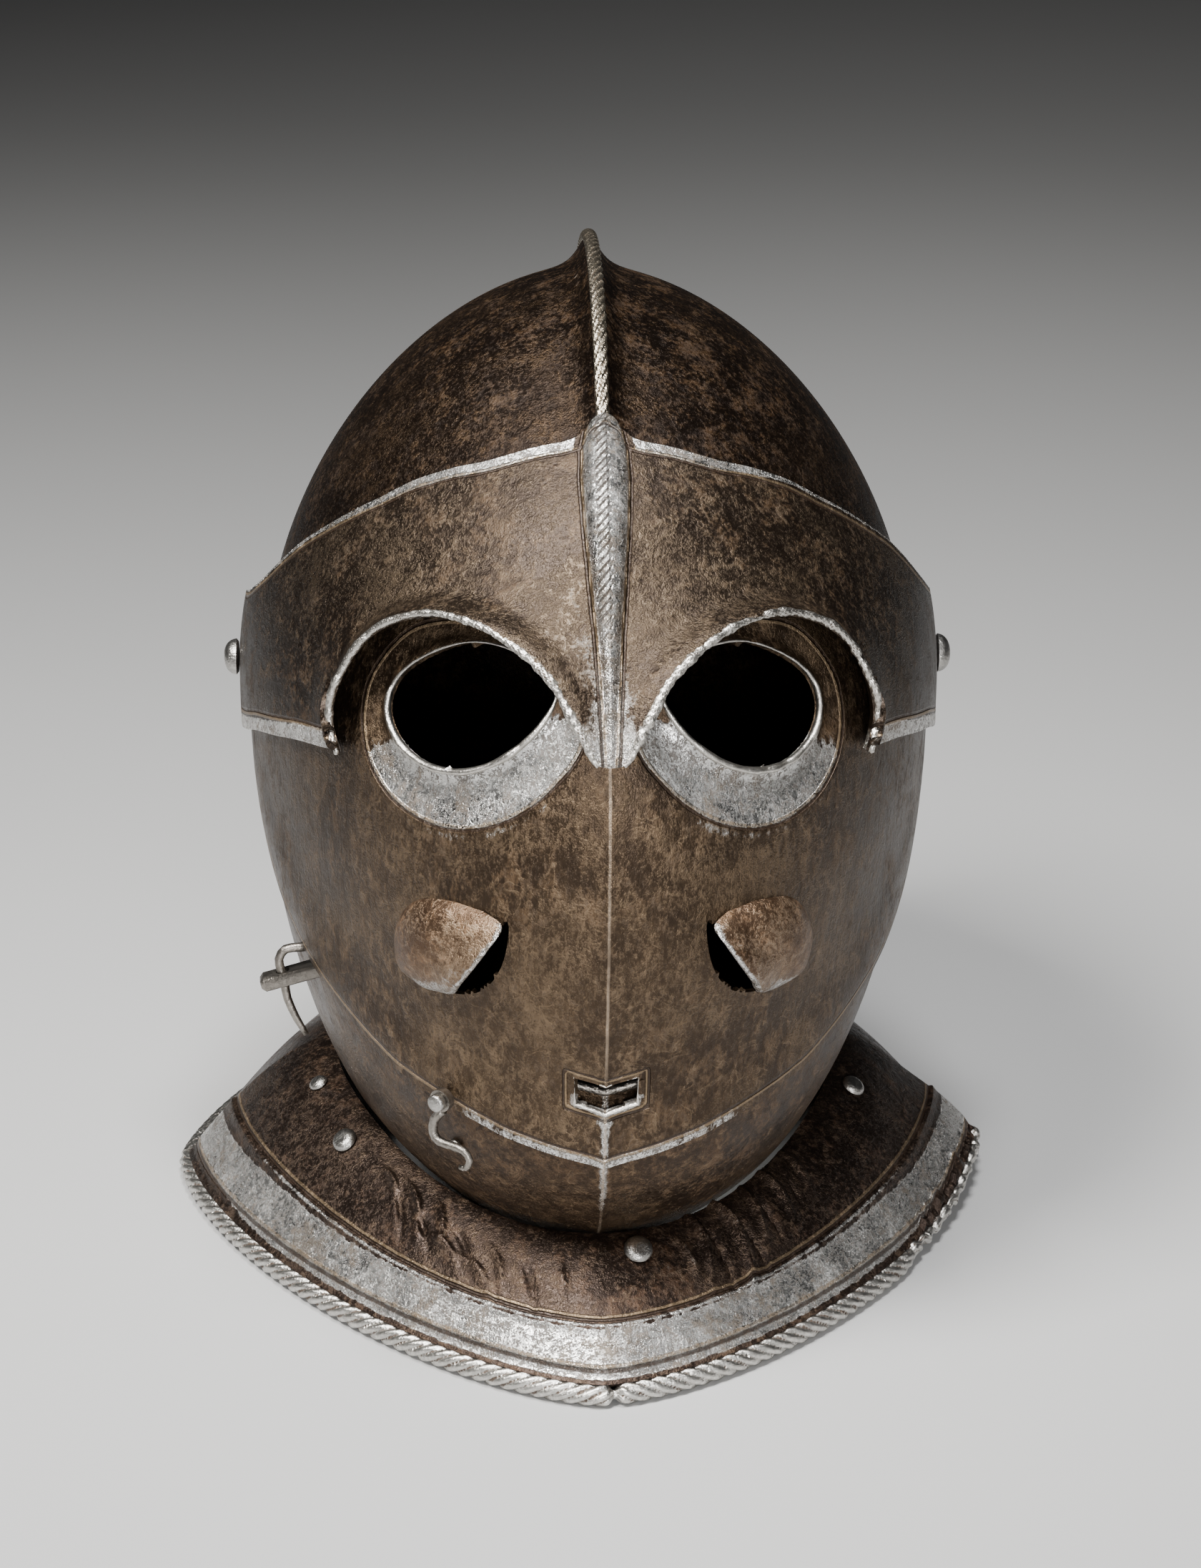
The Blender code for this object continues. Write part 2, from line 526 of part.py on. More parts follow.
eye_profile = [(LATCH_STAND - 1.25, 3.5), (LATCH_STAND + 1.25, 3.5)]
eye = turned("add_latch_eye", at, out, eye_profile, 18)
bore = turned("cut_latch_eye", at, out, [(0, 2.1), (12, 2.1)], 14)
hide(eye)
hide(bore)
join = arm.modifiers.new("Eye", "BOOLEAN")
join.operation = "UNION"
join.solver = "EXACT"
join.object = eye
cut(arm, bore)

# Pierced stud and the hook that passes through it
stud_at = push(bevor_surface(*np.array([STUD_SEAT]).T), np.array([STUD_STAND]))[0]
way = np.asarray(STUD_WAY) / np.linalg.norm(STUD_WAY)
flat_side = np.array((0.0, 1.0, 0.0))
flat_side = flat_side - way * flat_side.dot(way)
flat_side /= np.linalg.norm(flat_side)
rise = np.cross(way, flat_side)


def bar_loop(along, wide, thick, chamfer=0.7):
    """One cross-section of the flat bar, its corners cut off."""
    w, t, c = wide / 2, thick / 2, chamfer
    corners = [(w - c, t), (w, t - c), (w, c - t), (w - c, -t), (c - w, -t), (-w, c - t), (-w, t - c), (c - w, t)]
    return [stud_at + way * along + flat_side * a + rise * b for a, b in corners]


foot = [
    (-9.4, STUD_WIDE + 3, STUD_THICK + 3), (-8.1, STUD_WIDE + 3, STUD_THICK + 3), (-8.1, STUD_WIDE, STUD_THICK),
    (STUD_OUT - 1.2, STUD_WIDE, STUD_THICK), (STUD_OUT, STUD_WIDE - 1.8, STUD_THICK - 1.6),
]
stud = loft("pierced_stud", [bar_loop(*row) for row in foot], "dark_iron")
slot = loft("cut_stud_slot", [bar_loop(a, STUD_WIDE + 2 * GAP, STUD_THICK + 2 * GAP) for a in (-12, 12)])
hook_path = stud_at + smooth_path([row[:3] for row in SIDE_HOOK], 2)
hook_radius = smooth_path([(row[3], 0, 0) for row in SIDE_HOOK], 2)[:, 0]
tube("side_hook", hook_path, hook_radius, "dark_iron", 10)
stud_hole = turned("cut_stud_hole", stud_at + STUD_HOLE_AT, (-0.18, 0.04, 1), [(-9, 2.2), (9, 2.2)], 16)
hook_seat = turned("cut_hook_seat", stud_at + HOOK_SEAT, (-1, 0, -0.03), [(0, 1.9), (14, 1.9)], 16)
for cutter in (slot, stud_hole, hook_seat):
    hide(cutter)
cut(bevor, slot)
cut(face, slot)
cut(stud, stud_hole)
cut(face, hook_seat)
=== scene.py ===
# %% [markdown]
# # A savoyard close helmet in russet steel
# The real helmet is a set of hammered plates that turn on one line of rivets: a skull with a comb, a brow
# plate with two hoods over the eyes, a face plate, a bevor under it, and two neck plates with roped edges.
# The CAD model already holds their true sizes. This script dresses it: it makes the same shapes again with
# finer meshes, adds the ropes, lips and creases that plain solids leave out, and gives each plate its own
# worn finish.

import bmesh
import bpy
import numpy as np
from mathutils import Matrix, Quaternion
from mathutils.kdtree import KDTree


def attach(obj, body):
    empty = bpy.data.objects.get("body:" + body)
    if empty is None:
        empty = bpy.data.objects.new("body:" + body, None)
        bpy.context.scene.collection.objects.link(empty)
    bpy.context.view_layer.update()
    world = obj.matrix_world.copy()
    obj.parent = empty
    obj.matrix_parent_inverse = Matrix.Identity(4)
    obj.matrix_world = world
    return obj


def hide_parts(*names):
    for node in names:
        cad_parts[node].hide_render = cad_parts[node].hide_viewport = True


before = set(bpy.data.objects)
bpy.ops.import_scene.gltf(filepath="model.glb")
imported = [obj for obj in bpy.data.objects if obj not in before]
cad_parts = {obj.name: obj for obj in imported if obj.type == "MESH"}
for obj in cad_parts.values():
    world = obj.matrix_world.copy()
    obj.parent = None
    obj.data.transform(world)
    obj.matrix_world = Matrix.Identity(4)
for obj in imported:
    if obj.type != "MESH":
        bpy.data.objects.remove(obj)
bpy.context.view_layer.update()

# %% [markdown]
# The camera comes first, because every later choice is judged through it. It stands about 1.3 metres away
# and looks down by twenty degrees, which shows both the face and the neck plate, and it is rolled by a
# little under a degree. The floor is a plain pale sheet, and the light comes from soft panels: metal shows
# what is around it, so the panels overhead give broad calm highlights, and sides that face no panel fall
# away into the dark, deepened by painted shade in the finish of every plate.

# %% Camera, floor and lights
PIVOT = np.array((0.0, 0.0148, 0.180))  # middle of the pivot line, in metres


def aimed(obj, place, target, roll=0.0):
    """Puts an object at a place with its -Z axis on the target, turned about that axis by roll."""
    place, target = (type(obj.location)(p) for p in (place, target))
    obj.location = place
    obj.rotation_mode = "QUATERNION"
    obj.rotation_quaternion = (target - place).to_track_quat("-Z", "Y") @ Quaternion((0, 0, 1), roll)
    bpy.context.collection.objects.link(obj)
    return obj


def soft_panel(name, place, target, size, power, tint, spread):
    data = bpy.data.lights.new(name, "AREA")
    data.spread = np.radians(spread)
    data.shape = "RECTANGLE"
    data.size, data.size_y = size
    data.energy = power
    data.color = tint
    return aimed(bpy.data.objects.new(name, data), place, target)


CAMERA_AWAY, LENS_MM, SENSOR_MM = 1.3, 94.75, 36
AIM_DOWN, AIM_RIGHT = 0.0407, 0.0043  # metres from the pivot line to the middle of the picture
turn, rise, roll = np.radians((2.5, 20.0, 0.7))
back = np.array((-np.sin(turn) * np.cos(rise), -np.cos(turn) * np.cos(rise), np.sin(rise)))
eye_right = np.array((np.cos(turn), -np.sin(turn), 0.0))
eye_up = np.cross(back, eye_right)
lens = bpy.data.cameras.new("camera")
lens.lens, lens.sensor_width = LENS_MM, SENSOR_MM
aim = PIVOT - eye_up * AIM_DOWN + eye_right * AIM_RIGHT
camera = aimed(bpy.data.objects.new("camera", lens), PIVOT + back * CAMERA_AWAY, aim, roll)
bpy.context.scene.camera = camera

FLOOR_HALF, FLOOR_GREY = 6, (0.42, 0.42, 0.42, 1)
bm = bmesh.new()
bmesh.ops.create_grid(bm, x_segments=2, y_segments=2, size=FLOOR_HALF)
floor_mesh = bpy.data.meshes.new("floor")
bm.to_mesh(floor_mesh)
bm.free()
floor = bpy.data.objects.new("floor", floor_mesh)
bpy.context.collection.objects.link(floor)
floor_paint = bpy.data.materials.new("floor_paint")
floor_paint.use_nodes = True
floor_shader = floor_paint.node_tree.nodes["Principled BSDF"]
floor_shader.inputs["Base Color"].default_value = FLOOR_GREY
floor_shader.inputs["Roughness"].default_value = 0.9
floor.data.materials.append(floor_paint)

world = bpy.data.worlds.new("studio")
world.use_nodes = True
sky = world.node_tree.nodes["Background"]
sky.inputs["Color"].default_value = (0.30, 0.30, 0.31, 1)
sky.inputs["Strength"].default_value = 0.07
bpy.context.scene.world = world

PANELS = [
    # (name, place, target, size, watts, tint, spread in degrees)
    ("key_panel", (-0.72, -0.62, 1.50), (0, -0.04, 0.14), (0.50, 0.50), 15, (1.0, 0.985, 0.95), 90),
    ("front_panel", (0.10, -1.75, 0.50), (0, 0, 0.10), (0.55, 0.45), 4.2, (1, 1, 1), 70),
    ("top_panel", (0.02, -0.32, 1.55), (0, -0.06, 0.10), (0.40, 0.28), 6, (1, 1, 1), 80),
    ("fill_panel", (1.20, -1.0, 0.9), (0, 0, 0.16), (0.4, 0.7), 0.7, (1, 1, 1), 90),
]
for panel in PANELS:
    soft_panel(*panel)
print("Camera", [round(float(v), 4) for v in camera.location])

# %% [markdown]
# Every plate of this helmet slides over the next one, so on the real thing they are all hammered to one
# form that is round about the pivot line. Here a direction from the middle of the pivot line, given as a
# turn to the side and a lift above the level, is followed out to the point where it leaves the steel.
# Each plate is the same form set out by its own step.

# %% The common form of the plates
HALF_WIDTH, BOWL_REACH, WALL = 101.0, 122.0, 1.8  # millimetres
STEP_BEVOR, STEP_FACE, STEP_BROW = 2.8, 5.5, 8.4
RIDGE_HEIGHT, RIDGE_WIDTH = 1.4, 3.0
SECTIONS = [
    # (angle about the pivot line, reach share, squareness)
    (-105, 1.52, 2.30), (-80, 1.50, 2.25), (-68, 1.48, 2.12), (-58, 1.475, 2.05), (-48, 1.475, 1.97),
    (-40, 1.455, 1.92), (-36, 1.425, 1.89), (-31, 1.345, 1.86), (-24, 1.295, 1.84), (-15, 1.262, 1.82),
    (-6, 1.230, 1.81), (4, 1.205, 1.80), (10, 1.180, 1.80), (18, 1.131, 1.80), (30, 1.074, 1.80),
    (45, 1.020, 1.80), (58, 1.000, 1.80), (180, 1.000, 1.80), (200, 0.984, 1.85), (215, 0.960, 1.95),
    (228, 1.010, 2.05), (242, 1.230, 2.15), (255, 1.520, 2.30),
]


def softened(values, width):
    """The row of values with its corners rounded over this many samples."""
    reach = int(4 * width)
    weight = np.exp(-0.5 * (np.arange(-reach, reach + 1) / width) ** 2)
    return np.convolve(np.pad(values, reach, mode="edge"), weight / weight.sum(), mode="valid")


ANGLES = np.arange(-130.0, 290.0, 0.5)
knots = np.array(SECTIONS, float).T
REACH = softened(np.interp(ANGLES, knots[0], knots[1]), 4) * BOWL_REACH
SQUARE = softened(np.interp(ANGLES, knots[0], knots[2]), 6)


def to_world(points):
    """Millimetres about the pivot line to metres on the table."""
    return np.asarray(points, float) * 0.001 + PIVOT


def direction(turn, lift):
    turn, lift = np.radians(turn), np.radians(lift)
    return np.stack([np.sin(turn) * np.cos(lift), -np.cos(turn) * np.cos(lift), np.sin(lift)], -1)


def angle_up(points):
    """Angle about the pivot line, from straight ahead over the crown to the nape."""
    angle = np.degrees(np.arctan2(points[..., 2], -points[..., 1]))
    return np.where(angle < -100, angle + 360, angle)


def on_shell(way, step):
    """Points where these directions meet the common form, set out by step."""
    up = angle_up(way)
    reach = np.interp(up, ANGLES, REACH) + step
    square = np.interp(up, ANGLES, SQUARE)
    side = np.abs(way[..., 0]) / (HALF_WIDTH + step)
    middle = np.hypot(way[..., 1], way[..., 2]) / reach
    return way / ((side**square + middle**square) ** (1 / square))[..., None]


def unit(vectors):
    return vectors / np.linalg.norm(vectors, axis=-1, keepdims=True)


def push(points, height):
    """The points moved straight away from the centre by height."""
    return points * (1 + height / np.linalg.norm(points, axis=-1))[..., None]


def ridge_at(points):
    """Height of the faint ridge down the middle of the face and the chin."""
    return RIDGE_HEIGHT * np.exp(-np.abs(points[..., 0]) / RIDGE_WIDTH)


def near(x, width):
    """A smooth bump: one at nought, and close to nothing past the width."""
    return np.exp(-((x / width) ** 2))


def ramp(x, low, high):
    """A smooth step from nought at low to one at high."""
    t = np.clip((x - low) / (high - low), 0, 1)
    return t * t * (3 - 2 * t)


print("Reach over the crown", round(float(np.interp(90, ANGLES, REACH)), 1), "mm")

# %% [markdown]
# A smith lays a plate out flat, cuts its outline and then raises it. This does the same: a flat bmesh grid
# is made, its columns are run between a lower and an upper edge curve that a few listed points describe,
# and each vertex is then placed on the form. The distances from the plate's edges are kept on the vertices
# as named attributes in millimetres, so that a material can draw a burnished border or an engraved line
# with a crisp edge.


# %% Grids, outlines and marks
def flow(rows, position):
    """Smooth values through the rows at fractional row numbers."""
    rows = np.asarray(rows, float)
    rows = np.concatenate([[2 * rows[0] - rows[1]], rows, [2 * rows[-1] - rows[-2]]])
    start = np.clip(position.astype(int), 0, len(rows) - 4)
    t = (position - start)[:, None]
    a, b, c, d = (rows[start + k] for k in range(4))
    return 0.5 * (2 * b + (c - a) * t + (2 * a - 5 * b + 4 * c - d) * t**2 + (3 * b - a - 3 * c + d) * t**3)


def mirrored(table):
    """The columns of the left half, then those of the right."""
    half = np.array(table, float)
    return np.concatenate([half[:0:-1] * (-1, 1, -1, 1), half])


def lengths(points):
    """Distance run along the points, from nought."""
    steps = np.linalg.norm(np.diff(points, axis=0), axis=1)
    return np.concatenate([[0.0], np.cumsum(steps)])


def even_positions(path, cells, weight=None):
    """Shares of the way along a dense path that cut it into cells of equal length, or of equal weight."""
    run = lengths(path)
    if weight is not None:
        run = np.concatenate([[0.0], np.cumsum(np.diff(run) * (weight[1:] + weight[:-1]) / 2)])
    return np.interp(np.linspace(0, run[-1], cells + 1), run, np.linspace(0, 1, len(run)))


def resampled(path, count):
    """The path as this many evenly spaced points."""
    run = lengths(path)
    even = np.linspace(0, run[-1], count)
    return np.stack([np.interp(even, run, column) for column in path.T], -1)


def stretched(values, count):
    """The row of values spread evenly over this many places."""
    return np.interp(np.linspace(0, 1, count), np.linspace(0, 1, len(values)), values)


def closed_curve(corners, steps=60):
    """A smooth closed outline through the corners."""
    corners = np.asarray(corners, float)
    ring = np.concatenate([corners[-3:], corners, corners[:4]])
    return flow(ring, np.arange(0, len(corners), 1 / steps) + 3)


def straight_curve(corners, steps=60):
    """A closed outline with straight sides."""
    corners = np.asarray(corners, float)
    ahead = np.roll(corners, -1, axis=0)
    share = np.arange(0, 1, 1 / steps)[:, None]
    return np.concatenate([a + (b - a) * share for a, b in zip(corners, ahead)])


def both_sides(outline):
    return [outline, outline * (-1, 1)]


def inside(points, outline):
    """Whether each flat point lies within the closed outline."""
    x, y = points[:, :1], points[:, 1:]
    x0, y0 = outline.T
    x1, y1 = np.roll(outline, -1, axis=0).T
    crosses = (y0 > y) != (y1 > y)
    at = x0 + (y - y0) * (x1 - x0) / np.where(y1 == y0, 1e-9, y1 - y0)
    return (crosses & (x < at)).sum(axis=1) % 2 == 1


def nearest(points, path):
    """Distance from each point to the dense path, and the number of the path's nearest point."""
    tree = KDTree(len(path))
    for number, point in enumerate(path):
        tree.insert(point, number)
    tree.balance()
    found = [tree.find(point)[1:] for point in points]
    return np.array([row[1] for row in found]), np.array([row[0] for row in found])


def grid(across, along):
    """A flat bmesh grid, with the column and the row of each vertex."""
    bm = bmesh.new()
    bmesh.ops.create_grid(bm, x_segments=across, y_segments=along, size=1)
    share = np.array([vert.co[:2] for vert in bm.verts]) / 2 + 0.5
    return bm, np.round(share[:, 0] * across).astype(int), np.round(share[:, 1] * along).astype(int)


def middle_of(edges):
    """Turns and lifts half way between the two edge curves."""
    return (edges[:, :2] + edges[:, 2:]).T / 2


def laid_out(table, samples, across, tall, spaced_on, weight=None):
    """A flat grid between a table's two edge curves, the turn and lift of each vertex, and the dense edges.

    The columns are spaced along the path that spaced_on makes of the edges, closer where weight is high.
    """
    rows = mirrored(table)
    edges = flow(rows, np.linspace(0, len(rows) - 1, samples))
    dense_at = even_positions(spaced_on(edges), across, weight(edges) if weight else None)
    columns = flow(rows, dense_at * (len(rows) - 1))
    bm, i, j = grid(across, tall)
    share = (j / tall)[:, None]
    return bm, columns[i, :2] + (columns[i, 2:] - columns[i, :2]) * share, edges


def place(bm, points):
    for vert, point in zip(bm.verts, to_world(points)):
        vert.co = point


def mark(bm, **marks):
    """Keeps values on the vertices under these names."""
    layers = [bm.verts.layers.float.new(name) for name in marks]
    for layer, values in zip(layers, marks.values()):
        for vert, value in zip(bm.verts, np.broadcast_to(values, len(bm.verts))):
            vert[layer] = float(value)


def open_hole(bm, gone):
    """Deletes the faces inside the outlines: 2 marks a vertex inside, 1 one on the rim, 0 one outside."""
    state = dict(zip(bm.verts, gone))
    within = [face for face in bm.faces if any(state[vert] == 2 for vert in face.verts)]
    doomed = [face for face in within if all(state[vert] for vert in face.verts)]
    bmesh.ops.delete(bm, geom=doomed, context="FACES")
    bmesh.ops.delete(bm, geom=[vert for vert in bm.verts if not vert.link_faces], context="VERTS")


def outward(bm, way=None):
    """Turns the faces to look away from the pivot line's middle, or along a way if one is given."""
    bm.normal_update()
    bmesh.ops.recalc_face_normals(bm, faces=bm.faces)
    middle = bm.faces[0].normal.__class__(PIVOT)
    facing = sum(face.normal.dot(way or face.calc_center_median() - middle) for face in bm.faces)
    if facing < 0:
        bmesh.ops.reverse_faces(bm, faces=bm.faces)


def as_object(bm, name, wall=0.0):
    """A linked object of the bmesh, given a wall inwards if one is asked for."""
    mesh = bpy.data.meshes.new(name)
    bm.to_mesh(mesh)
    bm.free()
    obj = bpy.data.objects.new(name, mesh)
    bpy.context.collection.objects.link(obj)
    if wall:
        thick = obj.modifiers.new("Wall", "SOLIDIFY")
        thick.thickness = wall * 0.001
        thick.offset = -1
        thick.use_even_offset = False
    return obj


def forged(name, parts, materials, body, nodes, sharp=38):
    """One piece from several objects, each with its own material, riding on a body in place of the nodes."""
    bpy.context.view_layer.update()
    graph = bpy.context.evaluated_depsgraph_get()
    whole = bmesh.new()
    for number, part in enumerate(parts):
        mesh = bpy.data.meshes.new_from_object(part.evaluated_get(graph))
        mesh.polygons.foreach_set("material_index", np.full(len(mesh.polygons), number, np.int32))
        mesh.polygons.foreach_set("use_smooth", np.ones(len(mesh.polygons), bool))
        whole.from_mesh(mesh)
        bpy.data.meshes.remove(mesh)
    for part in parts:
        bpy.data.meshes.remove(part.data)
    mesh = bpy.data.meshes.new(name)
    whole.to_mesh(mesh)
    whole.free()
    mesh.set_sharp_from_angle(angle=np.radians(sharp))
    piece = bpy.data.objects.new(name, mesh)
    bpy.context.collection.objects.link(piece)
    for material in materials:
        mesh.materials.append(material)
    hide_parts(*nodes)
    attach(piece, body)
    mesh.calc_loop_triangles()
    print(name, len(mesh.loop_triangles), "triangles")
    return piece


# %% [markdown]
# Shader maths reads best as plain arithmetic. This small class wraps one socket of a material, so that a
# mask can be written as 1 - mask * 0.5 and the Math nodes are added behind it. Every other node comes from
# its one method.


# %% Arithmetic on sockets
class Wire:
    """A socket of a shader tree that takes part in Python arithmetic."""

    def __init__(self, tree, socket=None):
        self.tree = tree
        self.socket = socket

    def node(self, kind, settings=None, inputs=None, out=0):
        """A new node of this kind, with its settings and its inputs, as a wire from one of its outputs."""
        made = self.tree.nodes.new(kind)
        for key, value in (settings or {}).items():
            setattr(made, key, value)
        for key, value in (inputs or {}).items():
            if isinstance(value, Wire):
                self.tree.links.new(value.socket, made.inputs[key])
            else:
                made.inputs[key].default_value = value
        return Wire(self.tree, made.outputs[out])

    def maths(self, operation, *values):
        return self.node("ShaderNodeMath", {"operation": operation}, dict(enumerate(values)))

    def __add__(self, other):
        return self.maths("ADD", self, other)

    __radd__ = __add__

    def __sub__(self, other):
        return self.maths("SUBTRACT", self, other)

    def __rsub__(self, other):
        return self.maths("SUBTRACT", other, self)

    def __mul__(self, other):
        return self.maths("MULTIPLY", self, other)

    __rmul__ = __mul__

    def __truediv__(self, other):
        return self.maths("DIVIDE", self, other)

    def __abs__(self):
        return self.maths("ABSOLUTE", self)

    def step(self, low, high):
        """A smooth step from nought at low to one at high."""
        settings = {"interpolation_type": "SMOOTHSTEP"}
        return self.node("ShaderNodeMapRange", settings, {0: self, 1: low, 2: high})

    def top(self, other):
        return self.maths("MAXIMUM", self, other)

    def tint(self, first, second):
        """The first colour where this mask is nought, and the second where it is one."""
        return self.node("ShaderNodeMix", {"data_type": "RGBA"}, {0: self, 6: first, 7: second}, out=2)

    def noise(self, scale, detail=4.0, rough=0.6, warp=0.0, stretch=(1, 1, 1), shift=(0, 0, 0)):
        """Noise on these coordinates, centred on one half."""
        where = self.node("ShaderNodeMapping", None, {"Vector": self, "Scale": stretch, "Location": shift})
        inputs = {"Vector": where, "Scale": scale, "Detail": detail, "Roughness": rough, "Distortion": warp}
        return self.node("ShaderNodeTexNoise", {"noise_dimensions": "3D"}, inputs)

    def mark(self, name):
        """The named attribute of the mesh."""
        return self.node("ShaderNodeAttribute", {"attribute_name": name}, out=2)


def colour(r, g, b):
    return (r, g, b, 1.0)


def steel_material(name, base, rough, metal, height, relief):
    """A material of four wires: colour, roughness, metallic and bump height."""
    shader = base.tree.nodes["Principled BSDF"]
    for wire, socket in ((base, "Base Color"), (rough, "Roughness"), (metal, "Metallic")):
        base.tree.links.new(wire.socket, shader.inputs[socket])
    bump = base.node("ShaderNodeBump", None, {"Strength": 1.0, "Distance": relief, "Height": height})
    base.tree.links.new(bump.socket, shader.inputs["Normal"])
    return bpy.data.materials[name]


def new_tree(name):
    material = bpy.data.materials.new(name)
    material.use_nodes = True
    return Wire(material.node_tree)


# %% [markdown]
# Old russet steel is several finishes at once. The smith browned it, time spotted it with dark stains and
# golden rust, handling rubbed it back to a tan sheen on everything that stands proud, and the borders
# were filed bright from the start. The finish is built in layers, each laid over the last through a noise
# mask of the right size: blotches of a few centimetres, clouds of one, and above all freckles of about a
# millimetre, whose threshold is moved by the larger masks, so that they crowd in some places and thin out
# in others. The bright borders and the engraved lines follow the distances kept on the mesh.


# %% Russet plate finish
LINE_BROWN, LINE_TAN = colour(0.030, 0.017, 0.010), colour(0.30, 0.215, 0.130)
STAIN_BLACK, PAINTED_SIDE_SHADE = colour(0.016, 0.011, 0.009), colour(0.017, 0.011, 0.008)
FILED_GREY, FILED_PALE = colour(0.46, 0.45, 0.43), colour(0.74, 0.73, 0.71)
PIT_BROWN, DULL_BROWN = colour(0.085, 0.068, 0.055), colour(0.21, 0.165, 0.12)
CREST_TAN = colour(0.44, 0.34, 0.25)
# Every plate is darkened between these distances from the middle: mostly painted shade of the sides that face
# away from the light, partly a darker, less handled patina.
SIDE_SHADE_FROM, SIDE_SHADE_TO = 0.030, 0.112  # metres from the middle between which every plate darkens
PLATE_RELIEF, RUBBED_RELIEF = 0.0009, 0.0006


def russet_plate(
    name, deep, middle, tan, gold, freckles=0.5, stain=0.5, ridge=0.0, streaks=0.0, shift=(0, 0, 0)
):
    """Browned steel with filed borders from the marks band_mm and line_mm; worn, from nought to one, holds
    wear and painted highlights.
    """
    root = new_tree(name)
    where = root.node("ShaderNodeTexCoord", out=3)
    sideways = where.node("ShaderNodeSeparateXYZ", None, {0: where})
    band, line, wear_and_painted_sheen = root.mark("band_mm"), root.mark("line_mm"), root.mark("wear_and_painted_sheen")
    blotch = where.noise(24, 4, 0.6, 0.5, shift=shift)
    cloud = where.noise(85, 5, 0.65, 0.3, shift=shift)
    drift = where.noise(230, 5, 0.68, stretch=(1, 1, 1 - 0.55 * streaks), shift=shift)
    freckle = where.noise(700, 3, 0.7, stretch=(1, 1, 1 - 0.4 * streaks))
    speck = where.noise(1700, 2, 0.7)
    noises = {"blotch": blotch, "cloud": cloud, "drift": drift, "freckle": freckle, "speck": speck}

    def sway(**weights):
        """The named noises about their middle value, each times its weight."""
        first, *rest = [(noises[key] - 0.5) * weight for key, weight in weights.items()]
        return sum(rest, first)

    tone = 0.5 + sway(blotch=1.3, cloud=0.6, drift=0.5, freckle=0.8) + wear_and_painted_sheen * 0.06
    brown = tone.step(0.18, 0.90).tint(colour(*deep), colour(*middle))
    gilt = sway(cloud=0.9, drift=0.8, freckle=0.9, blotch=-0.6).step(-0.02, 0.30)
    brown = (gilt * 0.50).tint(brown, colour(*gold))
    vein = 1 - abs(where.noise(120, 3, 0.55, 0.8, shift=shift) - 0.5).step(0.004, 0.030)
    ease = sway(blotch=0.6, drift=0.3) + wear_and_painted_sheen * 0.07 + (freckles - 0.5) * 0.22 + vein * 0.08
    flecks = (freckle * 0.55 + speck * 0.45 + ease).step(0.47, 0.70)
    brown = (flecks * 0.44).tint(brown, colour(*tan))
    brown = (vein * sway(drift=1, cloud=1).step(-0.08, 0.12) * 0.42).tint(brown, colour(*tan))
    shade = (sway(freckle=1.0, cloud=0.7, drift=-0.5) + (stain - 0.5) * 0.2).step(0.02, 0.22)
    brown = (shade * 0.45).tint(brown, STAIN_BLACK)
    # Painted shade: each plate darkens towards its sides, mostly standing in for shade, partly a less handled
    # patina.
    brown = (abs(sideways).step(SIDE_SHADE_FROM, SIDE_SHADE_TO) * 0.42).tint(brown, PAINTED_SIDE_SHADE)

    # Rubbed steel comes from the worn mark: real wear, and on the brow and the breaths also painted
    # highlights.
    rub_and_painted_sheen = (wear_and_painted_sheen * 0.85 + sway(drift=1.1, freckle=0.9, cloud=0.6)).step(0.45, 0.80)
    ragged = band + sway(freckle=1.3, drift=2.4)
    bright = ragged.step(-0.10, 0.22).top(rub_and_painted_sheen)
    pits = (sway(speck=0.9, freckle=0.9, drift=0.5) - wear_and_painted_sheen * 0.05).step(0.0, 0.08)
    steel = where.noise(520, 3, 0.6, stretch=(0.22, 1, 1)).step(0.3, 0.7).tint(FILED_GREY, FILED_PALE)
    steel = (pits * 0.78).tint(steel, PIT_BROWN)
    steel = (sway(drift=1.2, blotch=1.2).step(0.02, 0.22) * 0.5).tint(steel, DULL_BROWN)
    base = bright.tint(brown, steel)

    wander = line + sway(drift=0.5)
    groove = 1 - abs(wander).step(0.22, 0.55)
    burr = 1 - abs(wander + 0.95).step(0.25, 0.60)
    base = (burr * 0.55).tint(base, LINE_TAN)
    base = (groove * 0.9).tint(base, LINE_BROWN)
    if ridge:
        beside = abs(sideways * 1000 + sway(drift=0.5))
        crest = (1 - beside.step(0.20, 0.62)) * (0.55 + sway(cloud=1.5))
        base = (crest * ridge).tint(base, CREST_TAN)

    height = cloud * 0.45 + drift * 0.35 + freckle * 0.20 + speck * 0.08 + flecks * 0.10 - shade * 0.12
    height = height + bright * 0.12 - pits * bright * 0.28 - groove * 0.7 + burr * 0.25
    rough = 0.38 + sway(cloud=0.25, speck=0.25) + gilt * 0.08 + shade * 0.10 - wear_and_painted_sheen * 0.07
    rough = rough - bright * 0.07 + pits * bright * 0.15
    metal = 0.82 - gilt * 0.25 + bright * 0.18 - groove * 0.3 - pits * 0.1
    return steel_material(name, base, rough, metal, height, PLATE_RELIEF)


# %% [markdown]
# The ropes, rivet heads and rims were left as bright metal and have been handled ever since. Their high
# parts are pale, and the hollows between them hold brown rust. The mesh says how deep each vertex lies, so
# the colour follows.


